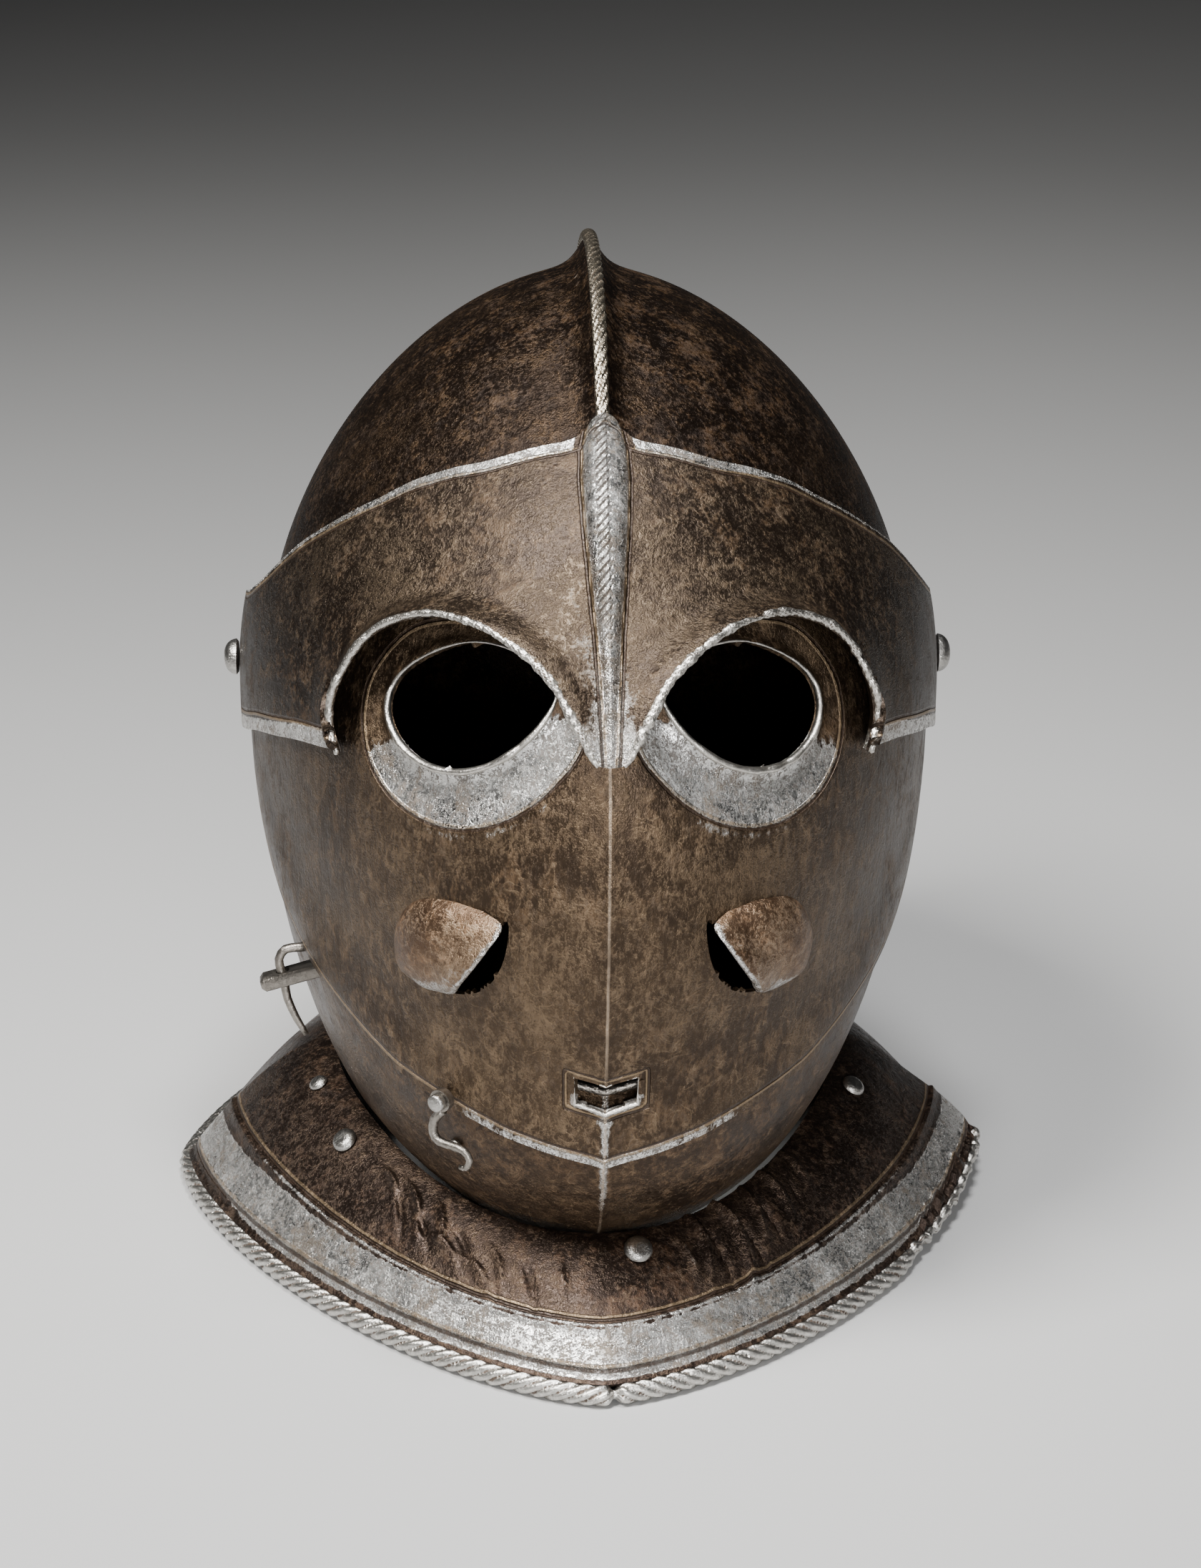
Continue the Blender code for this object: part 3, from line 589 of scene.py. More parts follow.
# %% Rubbed steel finish
def rubbed_steel(name, high, low, rough=0.33, brown=0.5):
    """Bare steel whose hollows, and some patches, have gone brown. It reads hollow, from nought to one."""
    root = new_tree(name)
    where = root.node("ShaderNodeTexCoord", out=3)
    patch = where.noise(120, 5, 0.65, 0.5)
    freckle = where.noise(620, 4, 0.7)
    grain = where.noise(1700, 2, 0.6)
    dirt = root.mark("hollow") * 0.75 + (patch - 0.5) * 1.5 + (freckle - 0.5) * 1.2
    dirt = dirt.step(0.62 - 0.5 * brown, 0.95 - 0.5 * brown)
    base = freckle.step(0.35, 0.65).tint(colour(*[v * 0.7 for v in high]), colour(*high))
    base = (dirt * 0.92).tint(base, colour(*low))
    height = freckle * 0.4 + grain * 0.2 - dirt * 0.15
    return steel_material(
        name, base, rough + dirt * 0.22 + (grain - 0.5) * 0.2, 1 - dirt * 0.3, height, RUBBED_RELIEF
    )


# %% Finishes of the plates and the small iron
skull_finish = russet_plate(
    "skull_russet", (0.010, 0.006, 0.004), (0.024, 0.014, 0.008), (0.074, 0.044, 0.022),
    (0.078, 0.039, 0.014), freckles=0.36, stain=0.70,
)
brow_finish = russet_plate(
    "brow_russet", (0.021, 0.014, 0.010), (0.048, 0.033, 0.021), (0.120, 0.086, 0.055),
    (0.095, 0.053, 0.023), freckles=0.50, stain=0.40, shift=(0.2, 0.1, 0.4),
)
face_finish = russet_plate(
    "face_russet", (0.033, 0.021, 0.013), (0.080, 0.052, 0.030), (0.175, 0.120, 0.072),
    (0.120, 0.068, 0.030), freckles=0.52, stain=0.50, ridge=0.8, streaks=1.0, shift=(0.5, 0.3, 0.1),
)
bevor_finish = russet_plate(
    "bevor_russet", (0.030, 0.019, 0.012), (0.076, 0.047, 0.027), (0.170, 0.112, 0.064),
    (0.125, 0.066, 0.027), freckles=0.50, stain=0.50, ridge=0.9, shift=(0.1, 0.6, 0.3),
)
gorget_finish = russet_plate(
    "gorget_russet", (0.027, 0.018, 0.014), (0.064, 0.042, 0.031), (0.150, 0.102, 0.067),
    (0.115, 0.056, 0.025), freckles=0.44, stain=0.60, shift=(0.7, 0.2, 0.2),
)
rope_finish = rubbed_steel("roped_edge_steel", (0.64, 0.62, 0.58), (0.065, 0.038, 0.023), brown=0.46)
rim_finish = rubbed_steel("hood_rim_steel", (0.66, 0.63, 0.58), (0.060, 0.038, 0.026), brown=0.50)
crest_finish = rubbed_steel("comb_crest_steel", (0.48, 0.42, 0.33), (0.055, 0.034, 0.020), brown=0.60)
rivet_finish = rubbed_steel("rivet_steel", (0.47, 0.455, 0.43), (0.100, 0.078, 0.060), rough=0.34, brown=0.36)
iron_finish = rubbed_steel("hook_iron", (0.30, 0.275, 0.245), (0.055, 0.042, 0.034), rough=0.38, brown=0.58)
print("Finishes:", [m.name for m in bpy.data.materials])

# %% [markdown]
# A roped edge is a plain turned edge that the smith then filed with slanting cuts, so that it looks like
# cord. It is modelled as a tube along the edge whose radius rises and falls with both the way round and
# the way along. On the neck plates the cuts lean the other way past the middle of the edge, as a smith
# who works from both ends leaves them. The tube is one grid closed on itself, and the depth of each cut
# is kept for the finish.


# %% Ropes along an edge
STRAND_ROUND = 0.55  # below one, so that the strands are fat and the cuts between them narrow
MERGE, DOME_MERGE, CAD_MERGE = 2e-6, 5e-6, 1e-5  # metres within which vertices are one
UPRIGHT = (0.0, 0.0, 1.0)


def rope(
    name, path, up, radius, strands=6, pitch=4.0, depth=0.22, around=20, flat=1.0, turned_at=0.0, ends=True
):
    """A roped tube along a dense path. up is the outward direction at each point, and radius may vary."""
    bm, i, j = grid(around, len(path) - 1)
    run = lengths(path)
    run = np.abs(run - run[-1] * turned_at)
    along = np.gradient(path, axis=0)
    if not ends:
        along[[0, -1]] = path[1] - path[-2]
    across = unit(np.cross(along, up))
    rise = unit(np.cross(across, along))
    angle = 2 * np.pi * (i % around) / around
    wave = np.abs(np.cos(0.5 * strands * angle + np.pi * run[j] / pitch)) ** STRAND_ROUND
    cut = np.broadcast_to(depth, len(path))[j]
    reach = np.broadcast_to(radius, len(path))[j] * (1 - cut * (1 - wave))
    level, tall = reach * np.cos(angle), reach * flat * np.sin(angle)
    place(bm, path[j] + level[:, None] * across[j] + tall[:, None] * rise[j])
    mark(bm, hollow=np.clip((1 - wave) * 1.3 * (cut > 0.02), 0, 1))
    bmesh.ops.remove_doubles(bm, verts=bm.verts, dist=MERGE)
    bmesh.ops.holes_fill(bm, edges=[e for e in bm.edges if e.is_boundary], sides=0)
    bm.normal_update()
    bmesh.ops.recalc_face_normals(bm, faces=bm.faces)
    return as_object(bm, name)


# %% [markdown]
# The skull is a bowl raised from one sheet, with a low comb from the brow to the nape. It could be a
# sphere with a hole cut in it, but a Boolean on a fine mesh is slow and leaves slivers, so the ball is a
# grid wrapped round the pivot line: its rows crowd together at the comb, and the faces of the opening in
# front, whose edge the other plates cover, are simply left out.

# %% Skull with its comb
COMB_HEIGHT, COMB_WIDTH = 10.0, 4.2
FACE_OPENING = [
    (-1.90, 0.98), (-0.74, 0.60), (-0.46, 0.42), (-0.27, 0.26), (-0.20, 0.10), (-0.19, -0.08),
    (-0.21, -0.40), (-0.20, -0.80), (-0.17, -1.45), (-1.90, -1.45),
]
NECK_FLOOR = -138.6
COMB_SHARES = ((30, 38, 50, 66, 150, 185, 205), (0, 0.25, 0.5, 1, 1, 0.6, 0))  # at these angles up
COMB_RISE = softened(np.interp(ANGLES, *COMB_SHARES), 5) * COMB_HEIGHT


def skull_surface(way):
    points = on_shell(way, 0.0)
    beside = np.abs(points[:, 0]) / COMB_WIDTH
    return push(points, np.interp(angle_up(points), ANGLES, COMB_RISE) * np.exp(-(beside**1.3)))


slopes = (np.arange(0, 3, 0.42), np.arange(3, 9, 0.75), np.arange(9, 84, 1.25), [84, 87, 89.2])
slopes = np.concatenate(slopes)  # degrees to one side of the comb, close beside it and wide over the ears
slopes = np.concatenate([-slopes[:0:-1], slopes])
CELLS_ROUND = 330
bm, i, j = grid(CELLS_ROUND, len(slopes) - 1)
slope = np.radians(slopes[j])
round_angle = 2 * np.pi * i / CELLS_ROUND
way = np.stack([np.sin(slope), -np.cos(slope) * np.cos(round_angle), np.cos(slope) * np.sin(round_angle)], -1)
points = skull_surface(way)
in_face = inside(points[:, 1:] / BOWL_REACH, np.array(FACE_OPENING, float))
below = points[:, 2] < NECK_FLOOR
place(bm, points)
mark(bm, band_mm=-20, line_mm=9, wear_and_painted_sheen=0.35 * near(np.abs(points[:, 0]) - COMB_WIDTH - 1, 3))
doomed = [face for face in bm.faces if all((in_face | below)[vert.index] for vert in face.verts)]
bmesh.ops.delete(bm, geom=doomed, context="FACES")
bmesh.ops.remove_doubles(bm, verts=bm.verts, dist=MERGE)
outward(bm)
skull_sheet = as_object(bm, "skull_sheet", WALL)

CREST_POINTS, CREST_SUNK = 700, 1.2
crest_up = np.linspace(41, 200, CREST_POINTS)
up = np.radians(crest_up)
crest_path = skull_surface(np.stack([np.zeros(CREST_POINTS), -np.cos(up), np.sin(up)], -1))
crest_size = np.interp(crest_up, (41, 55, 70, 150, 185, 200), (1.7, 2.1, 2.3, 2.3, 1.7, 0.9))
crest_path -= unit(crest_path) * CREST_SUNK
crest = rope("crest", crest_path, crest_path, crest_size, strands=6, pitch=4.6, depth=0.36, around=24)
forged("skull_bowl", [skull_sheet, crest], [skull_finish, crest_finish], "skull", ["skull"])

# %% [markdown]
# The brow plate carries the two hoods. Its lower edge rises in an arch over each eye and falls to a beak
# between them, and the steel around each arch is drawn out into a collar that stands off the face. A keel
# runs from the comb to the beak, and its crest is nicked with slanting cuts, which are fine enough to be
# drawn by the finish. The upper edge and the two side edges have filed borders, and each arch ends in a
# small roped rim that has been battered.

# %% Brow plate: outline and surface
BROW_COLUMNS = [
    # (low turn, low lift, top turn, top lift)
    (0.0, 8.5, 0.0, 50.5), (1.0, 8.6, 1.7, 50.2), (1.9, 9.4, 3.4, 49.4), (3.0, 11.6, 5.2, 48.2),
    (4.7, 14.4, 7.5, 47.5), (6.3, 16.9, 10.5, 47.1), (9.0, 19.3, 14.0, 46.5), (12.2, 21.2, 18.0, 45.6),
    (16.0, 22.7, 22.0, 44.7), (21.5, 23.5, 27.5, 43.8), (26.2, 22.8, 32.0, 42.7), (30.6, 20.8, 36.0, 41.5),
    (33.6, 17.6, 39.5, 40.0), (35.4, 14.0, 43.0, 38.3), (36.5, 10.4, 46.0, 37.0), (36.4, 7.2, 49.5, 35.3),
    (34.8, 4.4, 53.0, 33.5), (41.0, 2.8, 57.5, 31.0), (48.0, 1.4, 62.0, 28.3), (56.0, -0.8, 67.0, 24.6),
    (65.0, -3.4, 73.0, 20.0), (74.0, -6.6, 79.0, 16.2), (81.5, -8.8, 84.5, 13.4), (87.8, -9.8, 90.0, 11.6),
    (92.6, -9.0, 94.0, 9.4), (95.0, -6.0, 97.0, 5.2),
]
ARCH_FROM, CORNER = 1.3, 16  # columns where an arch starts, and where it meets the side edge
HOOD_HEIGHT, COLLAR_HEIGHT = 6.5, 3.6
HOOD_TURN, HOOD_LIFT, HOOD_HALF_TURN, HOOD_HALF_LIFT = 19.5, 12.5, 16.5, 11.0  # degrees
KEEL = [
    # (angle up, half width, height)
    (8, 1.5, 2.0), (12, 2.1, 2.9), (17, 2.9, 3.9), (22, 3.7, 4.5), (28, 4.9, 5.1), (35, 6.2, 5.6),
    (42, 6.9, 5.8), (46, 6.5, 5.4), (49, 5.2, 4.6), (52, 3.6, 4.0),
]


def keel_at(up):
    table = np.array(KEEL, float).T
    return np.interp(up, table[0], table[1]), np.interp(up, table[0], table[2])


def brow_surface(turn, lift):
    points = on_shell(direction(turn, lift), STEP_BROW)
    around = np.hypot((np.abs(turn) - HOOD_TURN) / HOOD_HALF_TURN, (lift - HOOD_LIFT) / HOOD_HALF_LIFT)
    hood = HOOD_HEIGHT * np.clip(1 - (around - 1) / 0.75, 0, 1) ** 2
    half, height = keel_at(angle_up(points))
    x = np.abs(points[..., 0])
    keel = height * np.clip(1 - (x / half) ** 2.4, 0, 1) ** 0.7
    keel += 0.7 * near(x, 0.9) - 0.8 * near(x - half - 0.5, 0.9)
    return push(points, np.maximum(hood, 0.6 * hood + keel))


def collar_share(turn):
    """The collar's share of its full height, which falls off towards the beak."""
    return ramp(np.abs(turn), 2, 9) * 0.6 + 0.4


# %% Brow plate: sheet and rims
BROW_ACROSS, BROW_TALL, BROW_SAMPLES, KEEL_REACH = 460, 84, 4000, 140
bm, turn_lift, edges = laid_out(
    BROW_COLUMNS, BROW_SAMPLES, BROW_ACROSS, BROW_TALL, lambda edges: brow_surface(*edges[:, :2].T)
)
column_at = np.abs(np.linspace(1 - len(BROW_COLUMNS), len(BROW_COLUMNS) - 1, BROW_SAMPLES))
low_edge, top_edge = brow_surface(*edges[:, :2].T), brow_surface(*edges[:, 2:].T)
points = brow_surface(*turn_lift.T)
arch = (column_at > ARCH_FROM) & (column_at < CORNER - 0.05)
side_edge = column_at > CORNER
to_top, top_at = nearest(points, top_edge)
to_side = nearest(points, low_edge[side_edge])[0]
to_arch = nearest(points, low_edge[arch])[0]
collar = COLLAR_HEIGHT * near(to_arch, 4.4) - 0.8 * near(to_arch - 9, 3.4)
points = push(points, collar * collar_share(turn_lift[:, 0]))
x = np.abs(points[:, 0])
half, _ = keel_at(angle_up(points))
lift_now = turn_lift[:, 1]
top_width = np.interp(np.abs(edges[top_at, 2]), (0, 20, 45, 70, 90), (4.0, 3.7, 3.0, 2.2, 1.6))
top_band = np.minimum(top_width - to_top, x - half - 2.4)
top_band -= 2.0 * np.where(points[:, 0] > 0, ramp(x, 26, 62), 0.7 * ramp(x, 45, 90))
side_band = np.minimum(5.6 - to_side, 20 * ramp(to_arch, 0.5, 3.0) - 8) - ramp(x, 78, 104) * 1.6
band = np.maximum(np.maximum(top_band, side_band), np.minimum(half - 0.2 - x, 6))
line = np.minimum(to_top - top_width - 0.4, 9)
line = np.where(np.abs(to_side - 6.0) < np.abs(line), to_side - 6.0, line)
line = np.where(np.abs(x - half - 0.8) < np.abs(line), x - half - 0.8, line)
# Painted highlight: a broad patch left of the keel, where the key light strikes, is laid into the worn mark
# as rubbed steel. The beak and the arch edges are real wear.
painted_sheen = 0.45 * near(points[:, 0] + 10, 16) * ramp(lift_now, 14, 22) * (1 - ramp(lift_now, 26, 42))
beak = near(x, 8) * (1 - ramp(lift_now, 14, 25))
wear_and_painted_sheen = np.clip(painted_sheen + beak + 0.45 * near(to_arch, 2.2), 0, 1)
run_up = np.radians(angle_up(points)) * KEEL_REACH
place(bm, points)
mark(bm, band_mm=band, line_mm=line, wear_and_painted_sheen=wear_and_painted_sheen, run_mm=run_up)
outward(bm)
brow_sheet = as_object(bm, "brow_sheet", WALL)

RIM_POINTS = 330
rng = np.random.default_rng(7)
rims = []
for sign in (-1, 1):
    pick = arch & (np.sign(edges[:, 0]) == sign)
    path = low_edge[pick][::-sign]
    lean = collar_share(edges[pick, 0][::-sign])
    path = resampled(push(path, (COLLAR_HEIGHT + 0.2) * lean - 0.9), RIM_POINTS)
    dents = softened(rng.normal(0, 1, RIM_POINTS), 3)
    path = path + 0.55 * dents[:, None] * unit(path)
    share = np.linspace(0, 1, RIM_POINTS)
    size = np.interp(share, (0, 0.06, 0.5, 0.9, 1), (0.8, 1.35, 1.15, 1.45, 1.0))
    size = size * (1 + 0.30 * softened(rng.normal(0, 1, RIM_POINTS), 2))
    cut = np.where(share > 0.5, 0.30, 0.16) if sign < 0 else 0.28
    rims.append(rope(f"rim_{sign}", path, path, size, strands=5, pitch=2.6, depth=cut, around=16))


# %% [markdown]
# The brow's finish takes one thing more than the other plates: the nicks on the crest of the keel. They are
# short slanting strokes, a little under three millimetres apart, so a saw wave along the keel, leaned over
# by the distance from the middle, gives all of them at once. They only darken and dent the steel.


# %% Nicks on the keel
NICK_BROWN = colour(0.040, 0.030, 0.024)


def nick_keel(material, spacing=2.7, lean=1.05, left=-3.0, right=0.7):
    """Adds slanting cuts over the crest of the keel to a finished plate material."""
    root = Wire(material.node_tree)
    shader = material.node_tree.nodes["Principled BSDF"]
    where = root.node("ShaderNodeTexCoord", out=3)
    x = root.node("ShaderNodeSeparateXYZ", None, {0: where}) * 1000
    waver = (where.noise(170, 2, 0.5) - 0.5) * 2.2
    phase = (root.mark("run_mm") - x * lean + waver * 0.35) / spacing
    phase = phase.maths("FRACT", phase)
    stroke = 1 - abs(phase - 0.5).step(0.10, 0.22)
    span = (x + waver * 0.6).step(left - 0.5, left + 0.3)
    span = span * (1 - (x + waver * 0.5).step(right - 0.3, right + 0.5))
    cut = stroke * span * root.mark("run_mm").step(48, 62)
    for socket, shade in (("Base Color", NICK_BROWN), ("Roughness", None)):
        old = Wire(root.tree, shader.inputs[socket].links[0].from_socket)
        new = (cut * 0.85).tint(old, shade) if shade else old + cut * 0.2
        root.tree.links.new(new.socket, shader.inputs[socket])
    bump = shader.inputs["Normal"].links[0].from_node
    old = Wire(root.tree, bump.inputs["Height"].links[0].from_socket)
    root.tree.links.new((old - cut * 0.8).socket, bump.inputs["Height"])


nick_keel(brow_finish)
forged(
    "brow_plate_steel", [brow_sheet, *rims], [brow_finish, rim_finish, rim_finish], "brow",
    ["brow_plate"],
)

# %% [markdown]
# The face plate is a tall mask with a faint ridge down its middle. It has two eye holes with a thin raised
# lip, each in a sunk crescent of bare metal, a slit for the mouth, and two breaths like fish scales. The
# holes are opened by moving the nearest grid points onto their outlines and deleting the faces inside, and
# a lip runs round each eye hole and hides the cut edge.

# %% Face plate: outlines
FACE_COLUMNS = [
    (0.0, -36.4, 0.0, 30.0), (1.2, -36.3, 1.4, 30.0), (3.0, -36.1, 3.4, 30.0), (6.0, -35.8, 6.5, 30.0),
    (9.0, -35.5, 9.5, 30.0), (12.0, -35.3, 12.3, 30.0), (14.5, -35.0, 14.8, 29.8),
    (17.0, -34.8, 17.3, 29.6), (19.8, -34.6, 20.0, 29.4), (22.6, -34.5, 22.8, 29.0),
    (25.5, -34.4, 25.6, 28.6), (28.5, -34.3, 28.5, 28.0), (32.0, -33.8, 32.0, 27.2),
    (36.0, -33.2, 36.0, 26.3), (41.0, -32.5, 41.0, 25.2), (47.0, -31.8, 47.0, 23.6),
    (53.0, -30.8, 53.0, 21.6), (60.0, -28.8, 60.0, 19.0), (67.0, -25.6, 67.0, 16.4),
    (74.0, -21.0, 74.0, 13.8), (81.0, -15.8, 81.0, 11.6), (87.5, -11.6, 87.5, 10.0),
    (94.0, -8.4, 94.0, 8.2), (98.6, -4.6, 98.6, 4.8),
]
EYE_HOLE = [
    (6.2, 15.8), (7.6, 12.2), (10.8, 8.8), (14.6, 6.4), (18.8, 5.2), (23.4, 5.4), (27.6, 7.4), (29.9, 10.8),
    (29.0, 14.8), (25.0, 18.2), (19.0, 20.6), (13.6, 20.6), (9.2, 18.8),
]
SOCKET = [
    (2.8, 10.2), (6.2, 5.2), (10.4, 1.6), (15.4, -0.8), (20.4, -1.6), (25.0, -1.0), (28.8, 0.6),
    (32.2, 3.8), (34.2, 8.8), (33.6, 15.0), (28.0, 21.5), (19.0, 23.5), (9.0, 22.0), (3.4, 16.4),
]
BREATH = [
    (10.9, -10.4), (11.5, -15.0), (13.5, -18.8), (16.4, -20.9), (20.2, -21.7), (19.4, -19.6), (17.0, -17.6),
    (14.6, -14.8), (12.8, -11.6),
]
MOUTH = [(-3.6, -27.4), (0.0, -27.9), (3.7, -27.4), (3.7, -30.4), (0.0, -31.0), (-3.5, -30.4)]
MOUTH_FRAME = [(-4.8, -26.6), (0.0, -27.2), (4.9, -26.6), (5.0, -31.0), (0.0, -31.8), (-4.8, -31.0)]


def face_ridge(turn, lift):
    points = on_shell(direction(turn, lift), STEP_FACE)
    return push(points, ridge_at(points) * np.clip((4 - lift) / 10, 0, 1))


eye_outlines = both_sides(closed_curve(EYE_HOLE))
socket_outlines = both_sides(closed_curve(SOCKET))
breath_outlines = both_sides(closed_curve(BREATH))
mouth_outline = straight_curve(MOUTH)
frame_outline = straight_curve(MOUTH_FRAME)


def depth_in(points, flat, outlines):
    """Distance in from the nearest of these outlines on the face plate, less than nought outside them all."""
    gap = np.min([nearest(points, face_ridge(*outline.T))[0] for outline in outlines], axis=0)
    within = np.any([inside(flat, outline) for outline in outlines], axis=0)
    return np.where(within, gap, -gap)


def socket_dish(socket, to_eye):
    """How far the crescent is sunk, and how far its inner edge turns up again to the lip."""
    return -2.2 * ramp(socket, -0.2, 9) - 0.6 * ramp(socket, -0.1, 0.8) + 1.9 * near(to_eye, 2.2)


# %% Face plate: sheet
FACE_ACROSS, FACE_TALL, FACE_SAMPLES = 288, 136, 3000
SNAP = 0.70  # millimetres within which a vertex moves onto an outline


def face_closeness(edges):
    """The columns lie closest over the eyes and the mouth, and wider apart at the sides."""
    return 1 / np.interp(np.abs(edges[:, 0]), (0, 40, 60, 100), (1.0, 1.1, 2.0, 2.6))


bm, turn_lift, edges = laid_out(
    FACE_COLUMNS, FACE_SAMPLES, FACE_ACROSS, FACE_TALL,
    lambda edges: face_ridge(*middle_of(edges)), face_closeness,
)
gone = np.zeros(len(turn_lift), int)
for outline in [*eye_outlines, *breath_outlines, mouth_outline]:
    gap, number = nearest(face_ridge(*turn_lift.T), face_ridge(*outline.T))
    hit = (gap < SNAP) & (gone == 0)
    gone[inside(turn_lift, outline) & ~hit] = 2
    gone[hit] = 1
    turn_lift[hit] = outline[number[hit]]
points = face_ridge(*turn_lift.T)
turn_now, lift_now = turn_lift.T
to_eye = np.min([nearest(points, face_ridge(*outline.T))[0] for outline in eye_outlines], axis=0)
socket = depth_in(points, turn_lift, socket_outlines)
mouth_frame = depth_in(points, turn_lift, [frame_outline])
to_mouth = nearest(points, face_ridge(*mouth_outline.T))[0]
to_low = nearest(points, face_ridge(*edges[:, :2].T))[0]
relief = socket_dish(socket, to_eye) - 0.8 * ramp(mouth_frame, -0.3, 1.0) + 0.9 * near(to_mouth, 1.0)
points = push(points, relief)
# Painted shade: the crescents are filed bright only low down; higher up, where the hoods cast their shadow,
# they are left brown.
clear_of_painted_hood_shade = (13.0 - 8.0 * ramp(np.abs(turn_now), 18, 33) - lift_now) * 0.45
low_border = np.minimum(3.1 - to_low, 0.25 - ramp(np.abs(turn_now), 14, 30) * 3.0 + 0.3 * near(turn_now, 6))
band = np.maximum(np.minimum(socket - 0.3, clear_of_painted_hood_shade), low_border)
band = np.maximum(band, np.minimum(1.3 - to_mouth, (-29.4 - lift_now) * 1.2))
line = np.where(np.abs(socket) < np.abs(to_low - 3.6), -socket, to_low - 3.6)
line = np.where(np.abs(mouth_frame) * 1.3 < np.abs(line), -mouth_frame * 1.3, line)
below_mouth = near(points[:, 0], 2.0) * ramp(-lift_now, 30.5, 32.0)
wear_and_painted_sheen = 0.9 * below_mouth + 0.5 * near(mouth_frame + 0.6, 0.9) + 0.45 * near(socket + 1.8, 1.4)
wear_and_painted_sheen = wear_and_painted_sheen + 0.25 * near(np.abs(points[:, 0]) - 34, 15) * near(lift_now + 1, 6)
place(bm, points)
mark(bm, band_mm=band, line_mm=line, wear_and_painted_sheen=np.clip(wear_and_painted_sheen, 0, 1))
open_hole(bm, gone)
outward(bm)
face_sheet = as_object(bm, "face_sheet", WALL)

# %% Face plate: lips of the eye holes and of the mouth
LIP_POINTS = 231


def lip_along(name, outline, size, sunk, dent=0.25):
    """A low ragged bead along an outline of the face plate."""
    path = resampled(face_ridge(*np.concatenate([outline, outline[:1]]).T), LIP_POINTS)
    way = unit(path)
    rough = np.tile(rng.normal(0, 1, LIP_POINTS - 1), 3)
    rough = softened(rough, 2)[LIP_POINTS - 1 : 2 * LIP_POINTS - 1]
    path = path + way * (sunk + dent * rough)[:, None]
    size = size * (1 + 0.16 * rough)
    return rope(name, path, way, size, strands=0, depth=0.0, around=12, flat=1.25, ends=False)


lips = []
for number, outline in enumerate(eye_outlines):
    low_part = 1 - ramp(stretched(outline[:, 1], LIP_POINTS), 9, 18)
    depth_there = depth_in(face_ridge(*outline.T), outline, socket_outlines)
    sunk = socket_dish(stretched(depth_there, LIP_POINTS), 0.0)
    lips.append(lip_along(f"eye_lip_{number}", outline, 0.40 + 0.65 * low_part, sunk - 0.35))
mouth_size = 0.18 + 0.42 * ramp(-stretched(mouth_outline[:, 1], LIP_POINTS), 29.0, 30.2)
lips.append(lip_along("mouth_lip", mouth_outline, mouth_size, -0.2, 0.1))

# %% [markdown]
# Each breath is a scale of steel that was cut free along one side and driven out from behind, so that air
# enters under its edge. It is made as a cup: rings of a grid closed on itself run from its middle to an
# outline, and that outline holds its own height, which is just under nought where the scale is still part
# of the plate, and up to seven millimetres along the free lip. The wall is then given its thickness,
# which shows at the lip.

# %% Face plate: breaths
CUP_OUTLINE = [
    # (turn, lift, height over the plate)
    (11.5, -10.4, 2.5), (14.4, -9.8, -0.4), (18.2, -9.9, -0.5), (22.6, -11.3, -0.5), (25.6, -14.4, -0.5),
    (26.9, -18.0, -0.5), (26.2, -21.0, -0.5), (23.2, -21.9, -0.5), (19.6, -21.4, -0.2), (17.3, -19.8, 3.2),
    (16.0, -17.4, 6.6), (14.3, -14.8, 7.4), (12.6, -12.3, 6.0),
]
CUP_MIDDLE, CUP_HEIGHT, CUP_WALL = (20.3, -16.2), 7.4, 1.3
CUP_AROUND, CUP_RINGS = 104, 20


def breath_cup(sign):
    bm, i, j = grid(CUP_AROUND, CUP_RINGS)
    outline = closed_curve(CUP_OUTLINE, CUP_AROUND)[:: len(CUP_OUTLINE)]
    at = outline[i % CUP_AROUND]
    out = np.sqrt(j / CUP_RINGS)
    turn_at = CUP_MIDDLE[0] + (at[:, 0] - CUP_MIDDLE[0]) * out
    lift_at = CUP_MIDDLE[1] + (at[:, 1] - CUP_MIDDLE[1]) * out
    ground = on_shell(direction(sign * turn_at, lift_at), STEP_FACE)
    free = np.clip(at[:, 2] / 6.0, 0, 1)
    rise = CUP_HEIGHT * np.clip(1 - out**2.4, 0, 1) ** 0.46 + at[:, 2] * out**1.6
    battered = 0.25 * np.sin(turn_at * 1.3 + lift_at * 0.9 + sign) * out
    place(bm, push(ground, rise + battered))
    lip = free * ramp(out, 0.80, 0.97)
    # Painted highlight: the lower, inner part of each cup is made rubbed steel where it catches the light;
    # the free lip is real wear.
    painted_highlight_low = ramp(-lift_at + 0.8 * (20 - turn_at), 13.5, 19.5)
    wear_and_painted_sheen = np.clip(0.95 * lip + 0.80 * painted_highlight_low * ramp(out, 0.2, 0.6) * (1 - free * 0.3), 0, 1)
    mark(bm, band_mm=-3.0 + 3.3 * lip, line_mm=9, wear_and_painted_sheen=wear_and_painted_sheen)
    bmesh.ops.remove_doubles(bm, verts=bm.verts, dist=MERGE)
    outward(bm)
    return as_object(bm, f"breath_{sign}", CUP_WALL)


breath_finish = russet_plate(
    "breath_russet", (0.085, 0.050, 0.030), (0.180, 0.114, 0.068), (0.30, 0.220, 0.150),
    (0.240, 0.125, 0.055), freckles=0.62, stain=0.45, shift=(0.9, 0.1, 0.6),
)
cups = [breath_cup(sign) for sign in (-1, 1)]
forged(
    "face_plate_steel", [face_sheet, *cups, *lips],
    [face_finish, breath_finish, breath_finish, rim_finish, rim_finish, rim_finish],
    "lower_face", ["face_plate"],
)

# %% [markdown]
# The bevor is the chin plate behind the face plate's lower edge. It runs down into the neck plates and
# carries the latch, so only its lower part shows. A ridge continues the line of the face.

